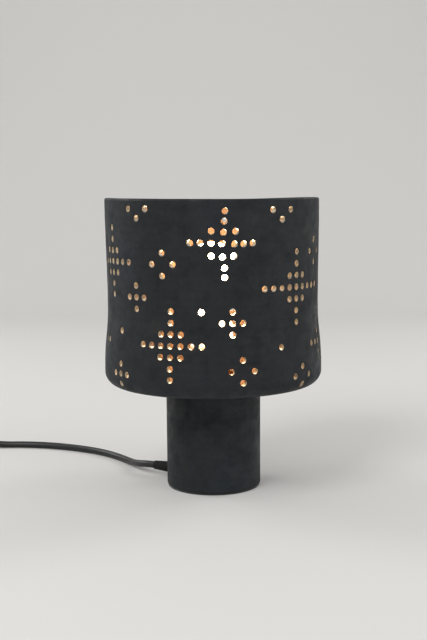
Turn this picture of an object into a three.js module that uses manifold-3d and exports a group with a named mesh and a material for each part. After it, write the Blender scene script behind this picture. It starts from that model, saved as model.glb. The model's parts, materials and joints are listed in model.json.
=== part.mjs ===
// A pierced ceramic table lamp, in millimetres, with +Z up.
// The origin is on the table, under the centre of the foot. The front is towards -Y,
// and the cord leaves the foot at the back left.
import * as THREE from 'three';
import { mergeGeometries, mergeVertices } from 'three/addons/utils/BufferGeometryUtils.js';
import Module from 'manifold-3d';

const wasm = await Module();
wasm.setup();

// Facets round the drum and foot, round the lampholder and bulb, round small pins, and round the cord
const bodySteps = 36;
const roundSteps = 16;
const pinSteps = 8;
const cordSides = 8;
const holeSides = 6;

// Clearances between pieces
const fit = 0.3; // between two round or turned faces that touch
const pipeClearance = 0.5; // round the pipe, in the two ceramic pieces
const bulbClearance = 0.4; // between the bulb's thread and the screw shell

// Foot
const feltThickness = 1.5;
const feltInset = 0.8; // from both edges of the foot's rim
const footDiameter = 88.4;
const footHeight = 96.7;
const footWall = 6;
const footRoof = 7;

// Drum
const drumHeight = 170;
const drumWall = 6;
const drumFloor = 7;
const bulgeDiameter = 201.8; // the widest place, low on the side
const bulgeHeight = 20; // above the drum's underside
const waistDiameter = 196;
const waistHeight = 97;
const rimDiameter = 196.6;
const cornerRadius = 12.7;
const innerCornerRadius = 8;

// Piercing: round holes in cross-stitch motifs, one stitch apart
const holeDiameter = 5.6;
const stitchAngle = 5.35; // degrees round the drum
const stitchRise = 9.8;
const holeMargin = 1.8; // of clay left between a hole and the rim
const lowestHole = 5; // above the drum's underside

// Threaded pipe and what clamps the two ceramic pieces together
const pipeDiameter = 10;
const pipeBore = 8;
const corkThickness = 2;
const lowerCorkDiameter = 40;
const upperCorkDiameter = 36;
const steelWasherThickness = 1.5;
const lowerSteelDiameter = 32;
const upperSteelDiameter = 30;
const nutThickness = 5;
const nutAcrossFlats = 14;
const pipeBelowNut = 4;
const pipeInHolder = 6.5;

// Lampholder
const neckDiameter = 20;
const neckHeight = 2;
const neckThread = 6.3; // length of the neck's thread on the pipe
const domeDiameter = 41.4;
const domeHeight = 9.5;
const shoulderHeight = 10.7;
const collarDiameter = 37;
const collarWall = 2.2;
const capHeight = 18.5;
const insertThickness = 3;
const barrierDepth = 5.4;
const barrierThickness = 6;
const skirtWall = 2.2;
const skirtRimDiameter = 36.4;
const skirtLip = 2.6; // thickness of the skirt round the screw shell
const skirtAboveInsert = 24.3;
const shellThickness = 0.5;
const shellHeight = 22.3;
const shellFloorOpening = 21;
const rivetDiameter = 2.4;
const rivetOffset = 8.5; // from the lampholder's axis
const terminalSize = 5.6;
const terminalScrewDiameter = 2.6;
const contactWidth = 4.6;
const contactThickness = 0.5;
const contactRise = 1.7; // of the bulb's contact above the insert

// Bulb
const bulbDiameter = 55;
const bulbLength = 97;
const bulbThreadDiameter = 26.1;
const bulbThreadDepth = 0.6;
const bulbThreadPitch = 3.6;
const bulbThreadTurns = 4;
const bulbCapHeight = 20.6;
const bulbCapFlare = 29.2;
const bulbNeckDiameter = 28.4;
const bulbContactHeight = 1.2;
const bulbContactDiameter = 9.4;
const bulbInsulatorHeight = 4.8;
const glassThickness = 0.9;
const stemHeight = 42;
const stemDiameter = 7;
const leadDiameter = 1;
const filamentDiameter = 1;
const filamentSpread = 13;
const filamentRise = 15; // of the filament's ends above the stem

// Cord
const cordDiameter = 6.8;
const cordHeight = 3.45; // of its centre, where it lies on the table
const innerBend = 30;
const wireDiameter = 2;
const wireSpacing = 3;
const cordAngle = 150; // of the hole in the foot, counter-clockwise from +X
const cordHoleHeight = 9.5;
const reliefNeck = 9.2;
const reliefFlange = 12.8;
const reliefFlangeThickness = 2;
const reliefShoulder = 12;
const reliefShoulderThickness = 2;
const reliefLength = 22.3; // outside the foot
const reliefRoot = 10.8;
const reliefTip = 8.6;

// Coil of the cord
const coilX = -317;
const coilY = 80;
const coilRadius = 49; // of the outermost turn's centre line
const coilTurns = 5.05;
const turnPitch = 7.45; // between neighbouring turns, and between the two layers
const tieAngle = 250;
const tieWidth = 9;
const tieThickness = 1;
const tieLift = 1.7; // of the turns where they pass over the strap

// Inline switch
const switchX = -293;
const switchY = 150;
const switchLength = 62;
const switchWidth = 28;
const switchHeight = 17;
const switchCorner = 9;
const switchSplit = 7.5; // height of the joint and of the cord's centre line
const switchWall = 2.2;
const cordInSwitch = 4;
const rockerLength = 23.2;
const rockerWidth = 10;
const rockerPivot = 4.4; // below the cover's top
const rockerThrow = 8; // degrees to each side
const rockerOpening = 25.4;
const rockerPinDiameter = 2;
const lugThickness = 2.5;
const bridgeThickness = 0.4;
const bridgeWidth = 7;
const bridgeReach = 9.5;
const postWidth = 2.6;
const postLength = 4;
const postSpacing = 4.4;
const switchScrewX = 20;
const switchScrewY = 8.6;
const switchScrewDiameter = 2.2;
const switchScrewHead = 4.4;
const switchBossDiameter = 5.2;

// Plug
const plugX = -297;
const plugY = -8.6;
const plugLength = 52;
const plugTail = 15;
const plugWidth = 35.2;
const plugThickness = 13.7;
const plugEdge = 2;
const cordInPlug = 10;
const pinSpacing = 18.6;
const pinDiameter = 4;
const pinCore = 2.6;
const pinLength = 19;
const pinRoot = 6;
const sleeveWall = 0.35;
const sleeveLength = 9.6;

// Heights that follow from the sizes
const footBottom = feltThickness;
const footTop = footBottom + footHeight;
const roofUnderside = footTop - footRoof;
const floorTop = footTop + drumFloor;
const lowerSteelTop = roofUnderside - corkThickness;
const nutTop = lowerSteelTop - steelWasherThickness;
const pipeBottom = nutTop - nutThickness - pipeBelowNut;
const holderBase = floorTop + corkThickness + steelWasherThickness;
const pipeTop = holderBase + pipeInHolder;
const capTop = holderBase + capHeight;
const insertTop = capTop + insertThickness;
const bulbBase = insertTop + contactRise + fit;
const bulbTop = bulbBase + bulbLength;

const footRadius = footDiameter / 2;
const cordRadius = cordDiameter / 2;
const cordBore = cordRadius + fit;
const boltBore = pipeDiameter / 2 + fit;
const collarRadius = collarDiameter / 2;

function paint(color, roughness, metalness = 0) {
  return new THREE.MeshStandardMaterial({ color, roughness, metalness, flatShading: true });
}

const stoneware = paint(0x14171b, 0.75);
const felt = paint(0x2c2b2a, 1);
const cork = paint(0xa5794d, 0.95);
const steel = paint(0xb4b6b8, 0.35, 1);
const brass = paint(0xc5a253, 0.35, 1);
const bronze = paint(0xb98454, 0.4, 1);
const blackPlastic = paint(0x141414, 0.45);
const whitePlastic = paint(0xe8e4da, 0.4);
const blueWire = paint(0x2f6fb5, 0.5);
const brownWire = paint(0x6b4026, 0.5);
const opalGlass = paint(0xfff1d6, 0.3);
opalGlass.emissive = new THREE.Color(0xffc98a);
const clearGlass = paint(0xdfe6e6, 0.1);
const darkGlass = paint(0x1b1b1f, 0.2);
const bulbMetal = paint(0xc9cbcc, 0.3, 1);
const tungsten = paint(0x6f6f70, 0.4, 1);
const blackSheath = paint(0x101010, 0.5);
const blackRubber = paint(0x121212, 0.7);

const lamp = new THREE.Group();
const flexible = new THREE.Group();
lamp.add(flexible);

function radians(degrees) {
  return THREE.MathUtils.degToRad(degrees);
}

// A closed skin: merged points, no flat triangles, faces pointing out
function skin(geometry) {
  const bare = geometry.clone();
  for (const extra of ['normal', 'uv']) bare.deleteAttribute(extra);
  const merged = mergeVertices(bare, 1e-4);
  const place = merged.attributes.position;
  const faces = merged.index.array;
  const kept = [];
  const [a, b, c] = [new THREE.Vector3(), new THREE.Vector3(), new THREE.Vector3()];
  let volume = 0;
  for (let i = 0; i < faces.length; i += 3) {
    const [p, q, r] = faces.slice(i, i + 3);
    if (p === q || q === r || r === p) continue;
    kept.push([p, q, r]);
    a.fromBufferAttribute(place, p);
    b.fromBufferAttribute(place, q);
    c.fromBufferAttribute(place, r);
    volume += a.dot(b.cross(c));
  }
  if (volume < 0) kept.forEach((face) => face.reverse());
  merged.setIndex(kept.flat());
  return merged;
}

function manifold(geometry) {
  const closed = skin(geometry);
  return new wasm.Manifold(new wasm.Mesh({
    numProp: 3,
    vertProperties: new Float32Array(closed.attributes.position.array),
    triVerts: new Uint32Array(closed.index.array),
  }));
}

function fromManifold(solid) {
  const mesh = solid.getMesh();
  const geometry = new THREE.BufferGeometry();
  geometry.setAttribute('position', new THREE.BufferAttribute(mesh.vertProperties, 3));
  geometry.setIndex([...mesh.triVerts]);
  return geometry;
}

function joined(...geometries) {
  return fromManifold(geometries.map(manifold).reduce((whole, next) => whole.add(next)));
}

function cut(geometry, ...cutters) {
  return fromManifold(cutters.map(manifold).reduce((rest, next) => rest.subtract(next), manifold(geometry)));
}

function add(name, geometry, material, group = lamp) {
  const mesh = new THREE.Mesh(skin(geometry), material);
  mesh.name = name;
  group.add(mesh);
}

// A solid turned about Z. The outline is a list of [radius, height].
function turned(outline, steps = roundSteps) {
  const closes = outline[0][0] > 0 || outline.at(-1)[0] > 0;
  const points = (closes ? [...outline, outline[0]] : outline).map(([r, z]) => new THREE.Vector2(r, z));
  return new THREE.LatheGeometry(points, steps).rotateX(Math.PI / 2);
}

// A ring or tube about Z
function ring(inner, outer, bottom, top, steps = roundSteps) {
  return turned([[inner, bottom], [outer, bottom], [outer, top], [inner, top]], steps);
}

function rod(radius, bottom, top, steps = roundSteps) {
  return turned([[0, bottom], [radius, bottom], [radius, top], [0, top]], steps);
}

function box(width, depth, height, x, y, bottom) {
  return new THREE.BoxGeometry(width, depth, height).translate(x, y, bottom + height / 2);
}

function along(axis, geometry) {
  return axis === 'x' ? geometry.rotateY(Math.PI / 2) : geometry.rotateX(-Math.PI / 2);
}

function arc(x, y, radius, from, to, steps) {
  return Array.from({ length: steps + 1 }, (_, i) => {
    const angle = radians(from + ((to - from) * i) / steps);
    return [x + radius * Math.cos(angle), y + radius * Math.sin(angle)];
  });
}

function shapeOf(points) {
  return new THREE.Shape(points.map(([x, y]) => new THREE.Vector2(x, y)));
}

// An upright block with rounded corners
function roundedBlock(length, width, radius, bottom, top, steps = 4) {
  const [x, y] = [length / 2 - radius, width / 2 - radius];
  const outline = [
    ...arc(x, y, radius, 0, 90, steps),
    ...arc(-x, y, radius, 90, 180, steps),
    ...arc(-x, -y, radius, 180, 270, steps),
    ...arc(x, -y, radius, 270, 360, steps),
  ];
  const geometry = new THREE.ExtrudeGeometry(shapeOf(outline), { depth: top - bottom, bevelEnabled: false });
  return geometry.translate(0, 0, bottom);
}

// A bar of even thickness bent along [x, z] points, centred on Y = 0
function bentStrip(points, thickness, width) {
  const lower = points.map(([x, z]) => [x, z - thickness]);
  const outline = shapeOf([...points, ...lower.reverse()]);
  const geometry = new THREE.ExtrudeGeometry(outline, { depth: width, bevelEnabled: false });
  return geometry.rotateX(Math.PI / 2).translate(0, width / 2, 0);
}

function pathThrough(points) {
  return new THREE.CatmullRomCurve3(points.map((p) => new THREE.Vector3(...p)), false, 'centripetal');
}

// A round tube that follows points, with flat ends
function tube(points, diameter, sides, steps) {
  const path = pathThrough(points);
  const section = shapeOf(arc(0, 0, diameter / 2, 0, 360 - 360 / sides, sides - 1));
  return new THREE.ExtrudeGeometry(section, { steps, extrudePath: path, bevelEnabled: false });
}

// Drum: the radius of its outside at a height above its underside
function sideRadius(height) {
  if (height < cornerRadius) {
    return bulgeDiameter / 2 - cornerRadius + Math.sqrt(cornerRadius ** 2 - (cornerRadius - height) ** 2);
  }
  const ease = (from, to, share) => from + ((to - from) * (1 - Math.cos(Math.PI * share))) / 2;
  if (height < bulgeHeight) return bulgeDiameter / 2;
  if (height < waistHeight) {
    return ease(bulgeDiameter, waistDiameter, (height - bulgeHeight) / (waistHeight - bulgeHeight)) / 2;
  }
  return ease(waistDiameter, rimDiameter, (height - waistHeight) / (drumHeight - waistHeight)) / 2;
}

function drumBody() {
  const bore = pipeDiameter / 2 + pipeClearance;
  const corner = arc(bulgeDiameter / 2 - cornerRadius, footTop + cornerRadius, cornerRadius, -90, 0, 4);
  const innerX = bulgeDiameter / 2 - drumWall - innerCornerRadius;
  const innerCorner = arc(innerX, floorTop + innerCornerRadius, innerCornerRadius, 0, -90, 2);
  const sideSteps = 3;
  const side = Array.from({ length: sideSteps + 1 }, (_, i) => {
    const height = bulgeHeight + ((drumHeight - bulgeHeight) * i) / sideSteps;
    return [sideRadius(height), footTop + height];
  });
  const inside = side.map(([r, z]) => [r - drumWall, z]).reverse();
  const outline = [[bore, footTop], ...corner, ...side, ...inside, ...innerCorner, [bore, floorTop]];
  return turned(outline, bodySteps);
}

// Motifs: each gives its holes as [stitches to the right, stitches up]
function cross(armAcross, armUp, corners) {
  const holes = [[0, 0]];
  for (let i = 1; i <= armAcross; i += 1) holes.push([i, 0], [-i, 0]);
  for (let i = 1; i <= armUp; i += 1) holes.push([0, i], [0, -i]);
  if (corners) holes.push([1, 1], [1, -1], [-1, 1], [-1, -1]);
  return holes;
}

const largeCross = cross(3, 3, true);
const wideCross = cross(4, 3, true);
const smallCross = cross(1, 1, false);
const diamond = [[1.1, 0], [-1.1, 0], [0, 1], [0, -1]];
const rimDiamond = [[1.1, 0], [-1.1, 0], [0, -0.9]];
const dot = [[0, 0]];

// Each motif's place: angle to the right of the front in degrees, height above the drum's underside,
// and the rise of one stitch where it isn't the usual one
const motifs = [
  [largeCross, 4.3, 133.2, 9.3],
  [largeCross, -21.9, 46.8],
  [wideCross, 47.3, 94.8, 10.2],
  [largeCross, -64, 116.6],
  [largeCross, 78.4, 42.3],
  [largeCross, 113, 119.5],
  [largeCross, 152, 59.8],
  [largeCross, 190, 113.8],
  [largeCross, 230, 64.5],
  [largeCross, 273.6, 45.8],
  [smallCross, -42.7, 87.8],
  [smallCross, 9.1, 66.4],
  [smallCross, -56.9, 17.8, 9.4],
  [smallCross, 97, 92],
  [smallCross, 112, 22],
  [smallCross, 172, 18],
  [smallCross, 250, 118],
  [diamond, -26.4, 117.3],
  [diamond, 14.2, 24.7],
  [diamond, 52.4, 15.2, 8],
  [diamond, 67.5, 124.3],
  [diamond, 133, 98],
  [diamond, 112, 55],
  [diamond, 192, 52],
  [diamond, 226, 124],
  [diamond, 252, 19, 9],
  [diamond, 268, 94],
  [rimDiamond, -42, 164.8],
  [rimDiamond, 36.9, 163.5],
  [rimDiamond, 84, 164],
  [rimDiamond, 146, 163.6],
  [rimDiamond, 214, 164.4],
  [rimDiamond, 272, 164],
  [dot, -6.1, 76.5],
  [dot, -55, 55.4],
  [dot, 36.2, 43.1],
  [dot, 132, 24],
  [dot, 212, 30],
  [dot, 172, 150],
];

// A cutter for each hole, square to the drum's outside and slightly tapered inwards, as a tool pushed
// through soft clay leaves it. Its few sides are as far out as gives the round hole's area.
function piercing() {
  const up = new THREE.Vector3(0, 1, 0);
  const sideways = Math.sqrt((2 * Math.PI) / (holeSides * Math.sin((2 * Math.PI) / holeSides)));
  const [outside, inside] = [drumWall, drumWall * 8];
  const mouth = (holeDiameter / 2) * sideways * (1 + outside / inside);
  const cutters = [];
  for (const [holes, angle, middle, rise = stitchRise] of motifs) {
    for (const [across, stitches] of holes) {
      const height = middle + stitches * rise;
      if (height < lowestHole || height + holeDiameter / 2 + holeMargin > drumHeight) continue;
      const turn = radians(angle + across * stitchAngle);
      const slope = (sideRadius(height + 0.1) - sideRadius(height - 0.1)) / 0.2;
      const out = new THREE.Vector3(Math.sin(turn), -Math.cos(turn), -slope).normalize();
      const place = new THREE.Vector3(Math.sin(turn), -Math.cos(turn), 0).multiplyScalar(sideRadius(height));
      place.z = footTop + height;
      const cutter = new THREE.ConeGeometry(mouth, outside + inside, holeSides);
      cutter.rotateX(Math.PI).translate(0, (outside - inside) / 2, 0);
      cutter.applyQuaternion(new THREE.Quaternion().setFromUnitVectors(up, out));
      cutters.push(cutter.translate(place.x, place.y, place.z));
    }
  }
  return mergeGeometries(cutters);
}

add('shade_drum', cut(drumBody(), piercing()), stoneware);

// Foot, with its hole for the strain relief
function aroundCord(geometry) {
  return along('x', geometry).translate(0, 0, cordHoleHeight).rotateZ(radians(cordAngle));
}

function footBody() {
  const inner = footRadius - footWall;
  const bore = pipeDiameter / 2 + pipeClearance;
  const wall = turned([
    [inner, footBottom], [footRadius, footBottom], [footRadius, footTop],
    [bore, footTop], [bore, roofUnderside], [inner, roofUnderside],
  ], bodySteps);
  return cut(wall, aroundCord(rod(reliefNeck / 2 + fit, inner - footWall, footRadius + footWall)));
}

add('foot', footBody(), stoneware);
const feltInner = footRadius - footWall + feltInset;
add('felt_ring', ring(feltInner, footRadius - feltInset, 0, feltThickness, bodySteps), felt);

// Clamp
function nut(bottom) {
  const corners = arc(0, 0, nutAcrossFlats / Math.sqrt(3), 0, 300, 5);
  const outline = shapeOf(corners);
  const block = new THREE.ExtrudeGeometry(outline, { depth: nutThickness, bevelEnabled: false });
  return cut(block.translate(0, 0, bottom), rod(boltBore, bottom - 1, bottom + nutThickness + 1));
}

add('lamp_pipe', ring(pipeBore / 2, pipeDiameter / 2, pipeBottom, pipeTop), steel);
add('lower_cork_washer', ring(boltBore, lowerCorkDiameter / 2, lowerSteelTop, roofUnderside), cork);
add('lower_steel_washer', ring(boltBore, lowerSteelDiameter / 2, nutTop, lowerSteelTop), steel);
add('lower_nut', nut(nutTop - nutThickness), steel);
const upperCorkTop = floorTop + corkThickness;
add('upper_cork_washer', ring(boltBore, upperCorkDiameter / 2, floorTop, upperCorkTop), cork);
add('upper_steel_washer', ring(boltBore, upperSteelDiameter / 2, upperCorkTop, holderBase), steel);

// Lampholder
function holderCap() {
  const innerCollar = collarRadius - collarWall;
  return turned([
    [boltBore, holderBase],
    [neckDiameter / 2, holderBase],
    [neckDiameter / 2, holderBase + neckHeight],
    [(neckDiameter + domeDiameter) / 4, holderBase + neckHeight * 2],
    [domeDiameter / 2, holderBase + domeHeight],
    [domeDiameter / 2, holderBase + shoulderHeight],
    [collarRadius, holderBase + shoulderHeight],
    [collarRadius, capTop],
    [innerCollar, capTop],
    [innerCollar, holderBase + domeHeight + 1],
    [(neckDiameter / 2 + innerCollar) / 2, holderBase + neckThread],
    [boltBore, holderBase + neckThread],
  ]);
}

function holderInsert() {
  const disc = rod(collarRadius - fit, capTop, insertTop);
  const barrier = box(barrierThickness, terminalSize * 2, barrierDepth + 0.5, 0, 0, capTop - barrierDepth);
  const holes = [-rivetOffset, rivetOffset].map((x) => (
    rod(rivetDiameter / 2 + fit, capTop - 1, insertTop + 1, pinSteps).translate(x, 0, 0)
  ));
  return cut(joined(disc, barrier), ...holes);
}

function holderSkirt() {
  const seat = insertTop + fit;
  const shoulder = holderBase + shoulderHeight + fit;
  const inner = collarRadius + fit;
  const rim = skirtRimDiameter / 2;
  const top = insertTop + skirtAboveInsert;
  return turned([
    [inner, shoulder],
    [inner + skirtWall, shoulder],
    [inner + skirtWall, seat + skirtWall],
    [rim + skirtWall / 2, seat + skirtWall * 2],
    [rim, top],
    [rim - skirtLip, top],
    [rim - skirtLip, seat],
    [inner, seat],
  ]);
}

const shellInner = bulbThreadDiameter / 2 + bulbClearance;
const rivetBottom = capTop - fit;

// The rivet that carries a contact through the insert to its terminal
function rivet(x, top) {
  return rod(rivetDiameter / 2, rivetBottom, top, pinSteps).translate(x, 0, 0);
}

function screwShell() {
  const floor = insertTop + shellThickness;
  const wall = turned([
    [shellFloorOpening / 2, insertTop],
    [shellInner + shellThickness, insertTop],
    [shellInner + shellThickness, insertTop + shellHeight],
    [shellInner, insertTop + shellHeight],
    [shellInner, floor],
    [shellFloorOpening / 2, floor],
  ]);
  const reach = shellFloorOpening / 2 - rivetOffset + rivetDiameter / 2 + 1;
  const middle = rivetOffset - rivetDiameter / 2 + reach / 2;
  const tab = box(reach, rivetDiameter, shellThickness, middle, 0, insertTop);
  return joined(wall, tab, rivet(rivetOffset, floor));
}

function centreContact() {
  const low = insertTop + contactThickness;
  const high = insertTop + contactRise;
  const strip = bentStrip([
    [-rivetOffset - rivetDiameter / 2, low],
    [-bulbContactDiameter / 2 - fit, low],
    [-bulbContactDiameter / 4, high],
    [bulbContactDiameter / 4, high],
  ], contactThickness, contactWidth);
  return joined(strip, rivet(-rivetOffset, low));
}

function terminal(side) {
  const x = side * rivetOffset;
  const block = box(terminalSize, terminalSize, terminalSize, x, 0, rivetBottom - terminalSize);
  const hole = along('y', rod(terminalScrewDiameter / 2 + fit, 0, terminalSize, pinSteps));
  return cut(block, hole.translate(x, 0, rivetBottom - terminalSize / 2));
}

function terminalScrew(side) {
  const under = terminalSize / 2 + fit;
  const head = rod(terminalScrewDiameter * 0.9, under, under + 1.2, pinSteps);
  const screw = joined(rod(terminalScrewDiameter / 2, 0.6, under + 0.6, pinSteps), head);
  return along('y', screw).translate(side * rivetOffset, 0, rivetBottom - terminalSize / 2);
}

add('holder_cap', holderCap(), whitePlastic);
add('holder_insert', holderInsert(), whitePlastic);
add('holder_skirt', holderSkirt(), whitePlastic);
add('screw_shell', screwShell(), brass);
add('centre_contact', centreContact(), bronze);
add('neutral_terminal', terminal(1), brass);
add('live_terminal', terminal(-1), brass);
add('neutral_terminal_screw', terminalScrew(1), steel);
add('live_terminal_screw', terminalScrew(-1), steel);

// Bulb, lit, in the lampholder
const insulatorBottom = bulbBase + bulbContactHeight;
const bulbShellBottom = insulatorBottom + bulbInsulatorHeight;
const bulbShellTop = bulbShellBottom + bulbCapHeight;
const threadRoot = bulbThreadDiameter / 2 - bulbThreadDepth;
const capInner = threadRoot - shellThickness;
const flareStart = bulbShellTop - bulbCapHeight / 5;
const flareInner = bulbCapFlare / 2 - shellThickness;
const stemBottom = bulbShellBottom + bulbCapHeight / 6;
const stemTop = stemBottom + stemHeight;

function bulbCap() {
  const crests = Array.from({ length: bulbThreadTurns }, (_, i) => {
    const z = bulbShellBottom + bulbThreadPitch * (i + 0.5);
    return [[threadRoot, z], [bulbThreadDiameter / 2, z + bulbThreadPitch / 2]];
  }).flat();
  return turned([
    [capInner - 2, bulbShellBottom],
    [threadRoot, bulbShellBottom],
    ...crests,
    [threadRoot, flareStart],
    [bulbCapFlare / 2, bulbShellTop],
    [flareInner, bulbShellTop],
    [capInner, flareStart],
    [capInner, bulbShellBottom + shellThickness],
    [capInner - 2, bulbShellBottom + shellThickness],
  ]);
}

function bulbOutline(inset) {
  const radius = bulbDiameter / 2;
  const middle = bulbTop - radius;
  const neck = bulbNeckDiameter / 2 - inset;
  const shoulder = 40; // degrees below the widest place, where the ball runs into the neck
  const ball = arc(0, middle, radius - inset, 90, -shoulder, 6);
  const [x, z] = ball.at(-1);
  const reach = radius / 3;
  const neckTop = bulbShellTop + fit * 4;
  const curve = new THREE.CubicBezierCurve(
    new THREE.Vector2(x, z),
    new THREE.Vector2(x - reach * Math.sin(radians(shoulder)), z - reach * Math.cos(radians(shoulder))),
    new THREE.Vector2(neck, neckTop + reach),
    new THREE.Vector2(neck, neckTop),
  );
  const throat = capInner - fit - inset;
  return [
    [0, bulbTop - inset],
    ...ball.slice(1),
    ...curve.getPoints(3).slice(1).map((p) => [p.x, p.y]),
    [flareInner - fit - inset, bulbShellTop],
    [throat, flareStart],
    [throat, stemBottom],
  ];
}

function bulbGlass() {
  return turned([...bulbOutline(0), ...bulbOutline(glassThickness).reverse()]);
}

function bulbStem() {
  return turned([
    [0, stemBottom],
    [capInner - glassThickness - fit * 2, stemBottom],
    [stemDiameter / 2, stemBottom + stemDiameter],
    [stemDiameter / 2, stemTop],
    [0, stemTop],
  ], pinSteps);
}

function lead(side) {
  const foot = (side * stemDiameter) / 4;
  return tube([
    [foot, 0, stemTop + fit],
    [foot, 0, stemTop + 3],
    [(side * filamentSpread) / 2, 0, stemTop + filamentRise - 4],
    [side * filamentSpread, 0, stemTop + filamentRise],
  ], leadDiameter, 5, 4);
}

function filament() {
  const points = Array.from({ length: 13 }, (_, i) => {
    const share = i / 6 - 1;
    const rise = filamentRise + fit + leadDiameter + (1 - share ** 2) * 2;
    return [share * filamentSpread, i % 2 ? 1.2 : -1.2, stemTop + rise];
  });
  return tube(points, filamentDiameter, 4, 15);
}

const insulatorOutline = [
  [0, insulatorBottom],
  [bulbContactDiameter / 2 + 0.5, insulatorBottom],
  [capInner - 0.5, bulbShellBottom - 1],
  [capInner - 0.5, bulbShellBottom],
  [0, bulbShellBottom],
];

add('bulb_glass', bulbGlass(), opalGlass);
add('bulb_cap', bulbCap(), bulbMetal);
add('bulb_insulator', turned(insulatorOutline), darkGlass);
add('bulb_contact', rod(bulbContactDiameter / 2, bulbBase, insulatorBottom), bulbMetal);
add('bulb_stem', bulbStem(), clearGlass);
add('bulb_lead_1', lead(-1), tungsten);
add('bulb_lead_2', lead(1), tungsten);
add('bulb_filament', filament(), tungsten);

// Strain relief in the foot's wall, and the cord inside the lamp
function reliefBody() {
  const flangeRadius = reliefFlange / 2;
  const inside = Math.sqrt((footRadius - footWall) ** 2 - flangeRadius ** 2) - fit;
  const outside = footRadius + fit;
  return turned([
    [cordBore, inside - reliefFlangeThickness],
    [flangeRadius, inside - reliefFlangeThickness],
    [flangeRadius, inside],
    [reliefNeck / 2, inside],
    [reliefNeck / 2, outside],
    [reliefShoulder / 2, outside],
    [reliefShoulder / 2, outside + reliefShoulderThickness],
    [reliefRoot / 2, outside + reliefShoulderThickness],
    [reliefTip / 2, footRadius + reliefLength],
    [cordBore, footRadius + reliefLength],
  ]);
}

function innerCord() {
  const out = [Math.cos(radians(cordAngle)), Math.sin(radians(cordAngle))];
  const at = (reach, z) => [reach * out[0], reach * out[1], z];
  const bend = arc(innerBend, cordHoleHeight + innerBend, innerBend, 270, 180, 8);
  return tube([
    at(footRadius + reliefLength, cordHoleHeight),
    at(footRadius, cordHoleHeight),
    ...bend.map(([reach, z]) => at(reach, z)),
    [0, 0, pipeBottom],
    [0, 0, (pipeBottom + pipeTop) / 2],
    [0, 0, pipeTop + fit],
  ], cordDiameter, cordSides, 24);
}

function wire(side) {
  const start = (side * wireSpacing) / 2;
  const end = rivetBottom - terminalSize - fit;
  const low = pipeTop + fit * 2;
  return tube([
    [start, 0, low],
    [start, 0, low + wireDiameter / 2],
    [side * rivetOffset, 0, end - wireDiameter / 2],
    [side * rivetOffset, 0, end],
  ], wireDiameter, 6, 6);
}

add('cord_relief', aroundCord(reliefBody()), blackRubber);
add('cord_inner', innerCord(), blackSheath);
add('wire_neutral', wire(1), blueWire);
add('wire_live', wire(-1), brownWire);

// Free cord: from the strain relief to the switch, on to the coil, and from it to the plug
const reliefEnd = footRadius + reliefLength + fit;
const cordHole = [Math.cos(radians(cordAngle)), Math.sin(radians(cordAngle))];
const switchCordEnd = switchLength / 2 - cordInSwitch;
const toSwitch = [
  [reliefEnd * cordHole[0], reliefEnd * cordHole[1], cordHoleHeight],
  [-65.3, 37.9, 9.2],
  [-71.9, 43.9, 8.1],
  [-77.6, 53.4, 6.2],
  [-83.0, 65.2, 4.5],
  [-90.2, 78.2, 3.6],
  [-99.5, 91.4, cordHeight],
  [-110.5, 104, cordHeight],
  [-124, 116, cordHeight],
  [-139, 126, cordHeight],
  [-155, 134.6, cordHeight],
  [-172, 141.6, cordHeight],
  [-190, 146.6, cordHeight],
  [-209, 149.4, cordHeight],
  [-226, 150, cordHeight],
  [-240, 150, 4.6],
  [-253, 150, 6.9],
  [switchX + switchCordEnd, switchY, switchSplit],
];
const toCoil = [
  [switchX - switchCordEnd, switchY, switchSplit],
  [-330, 150, 7.45],
  [-338, 148.9, 6.1],
  [-346, 145.7, 4.5],
  [-353.9, 139.9, 3.6],
  [-359.6, 132.2, cordHeight],
  [-363.5, 122.6, cordHeight],
  [-365.6, 111, cordHeight],
  [-366, 99, cordHeight],
  [coilX - coilRadius, coilY + cordDiameter + fit, cordHeight],
];

// The coil: turns that spiral in, climb a layer while the spiral reverses, and spiral out again
const halfTurns = coilTurns / 2;
const coilStart = 180;

function turnRadius(turn) {
  const away = Math.abs(turn - halfTurns);
  const eased = away < 0.25 ? 2 * away ** 2 + 0.125 : away;
  return coilRadius - turnPitch * (halfTurns - eased);
}

function turnPoint(turn) {
  const degrees = coilStart + turn * 360;
  const climb = THREE.MathUtils.smoothstep(turn, halfTurns - 0.25, halfTurns + 0.25);
  const fromTie = Math.abs(((degrees - tieAngle + 540) % 360) - 180);
  const spread = 36; // degrees to each side of the strap
  const lift = fromTie < spread ? tieLift * Math.cos((Math.PI / 2) * (fromTie / spread)) ** 2 : 0;
  const angle = radians(degrees);
  return [
    coilX + turnRadius(turn) * Math.cos(angle),
    coilY + turnRadius(turn) * Math.sin(angle),
    cordHeight + climb * turnPitch + lift,
  ];
}

const coilEndAngle = radians(coilStart + coilTurns * 360);
const coilOut = [-Math.sin(coilEndAngle), Math.cos(coilEndAngle)];
const coilEnd = turnPoint(coilTurns);
const stepsPerTurn = 24;

function past(end, reach) {
  return [end[0] + coilOut[0] * reach, end[1] + coilOut[1] * reach, end[2]];
}

const coilRoute = [
  [coilX - coilRadius, coilY + cordDiameter, cordHeight],
  ...Array.from({ length: Math.round(coilTurns * stepsPerTurn) + 1 }, (_, i) => (
    turnPoint((i / Math.round(coilTurns * stepsPerTurn)) * coilTurns)
  )),
  past(coilEnd, cordDiameter),
];

const toPlug = [
  past(coilEnd, cordDiameter + fit),
  past(coilEnd, cordDiameter + 11),
  [-354.1, 35.7, 8.7],
  [-350.3, 24, 6.3],
  [-345.6, 12.7, 4.4],
  [-338.4, 3.3, 3.5],
  [-329.1, -3.6, cordHeight],
  [-318.6, -7.6, 3.8],
  [-308.5, plugY, 5.4],
  [plugX, plugY, 6.8],
  [plugX + cordInPlug, plugY, plugThickness / 2],
];

function freeTube(route) {
  const steps = Math.round(pathThrough(route).getLength() / (cordDiameter * 2.1));
  return tube(route, cordDiameter, cordSides, steps);
}

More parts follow.
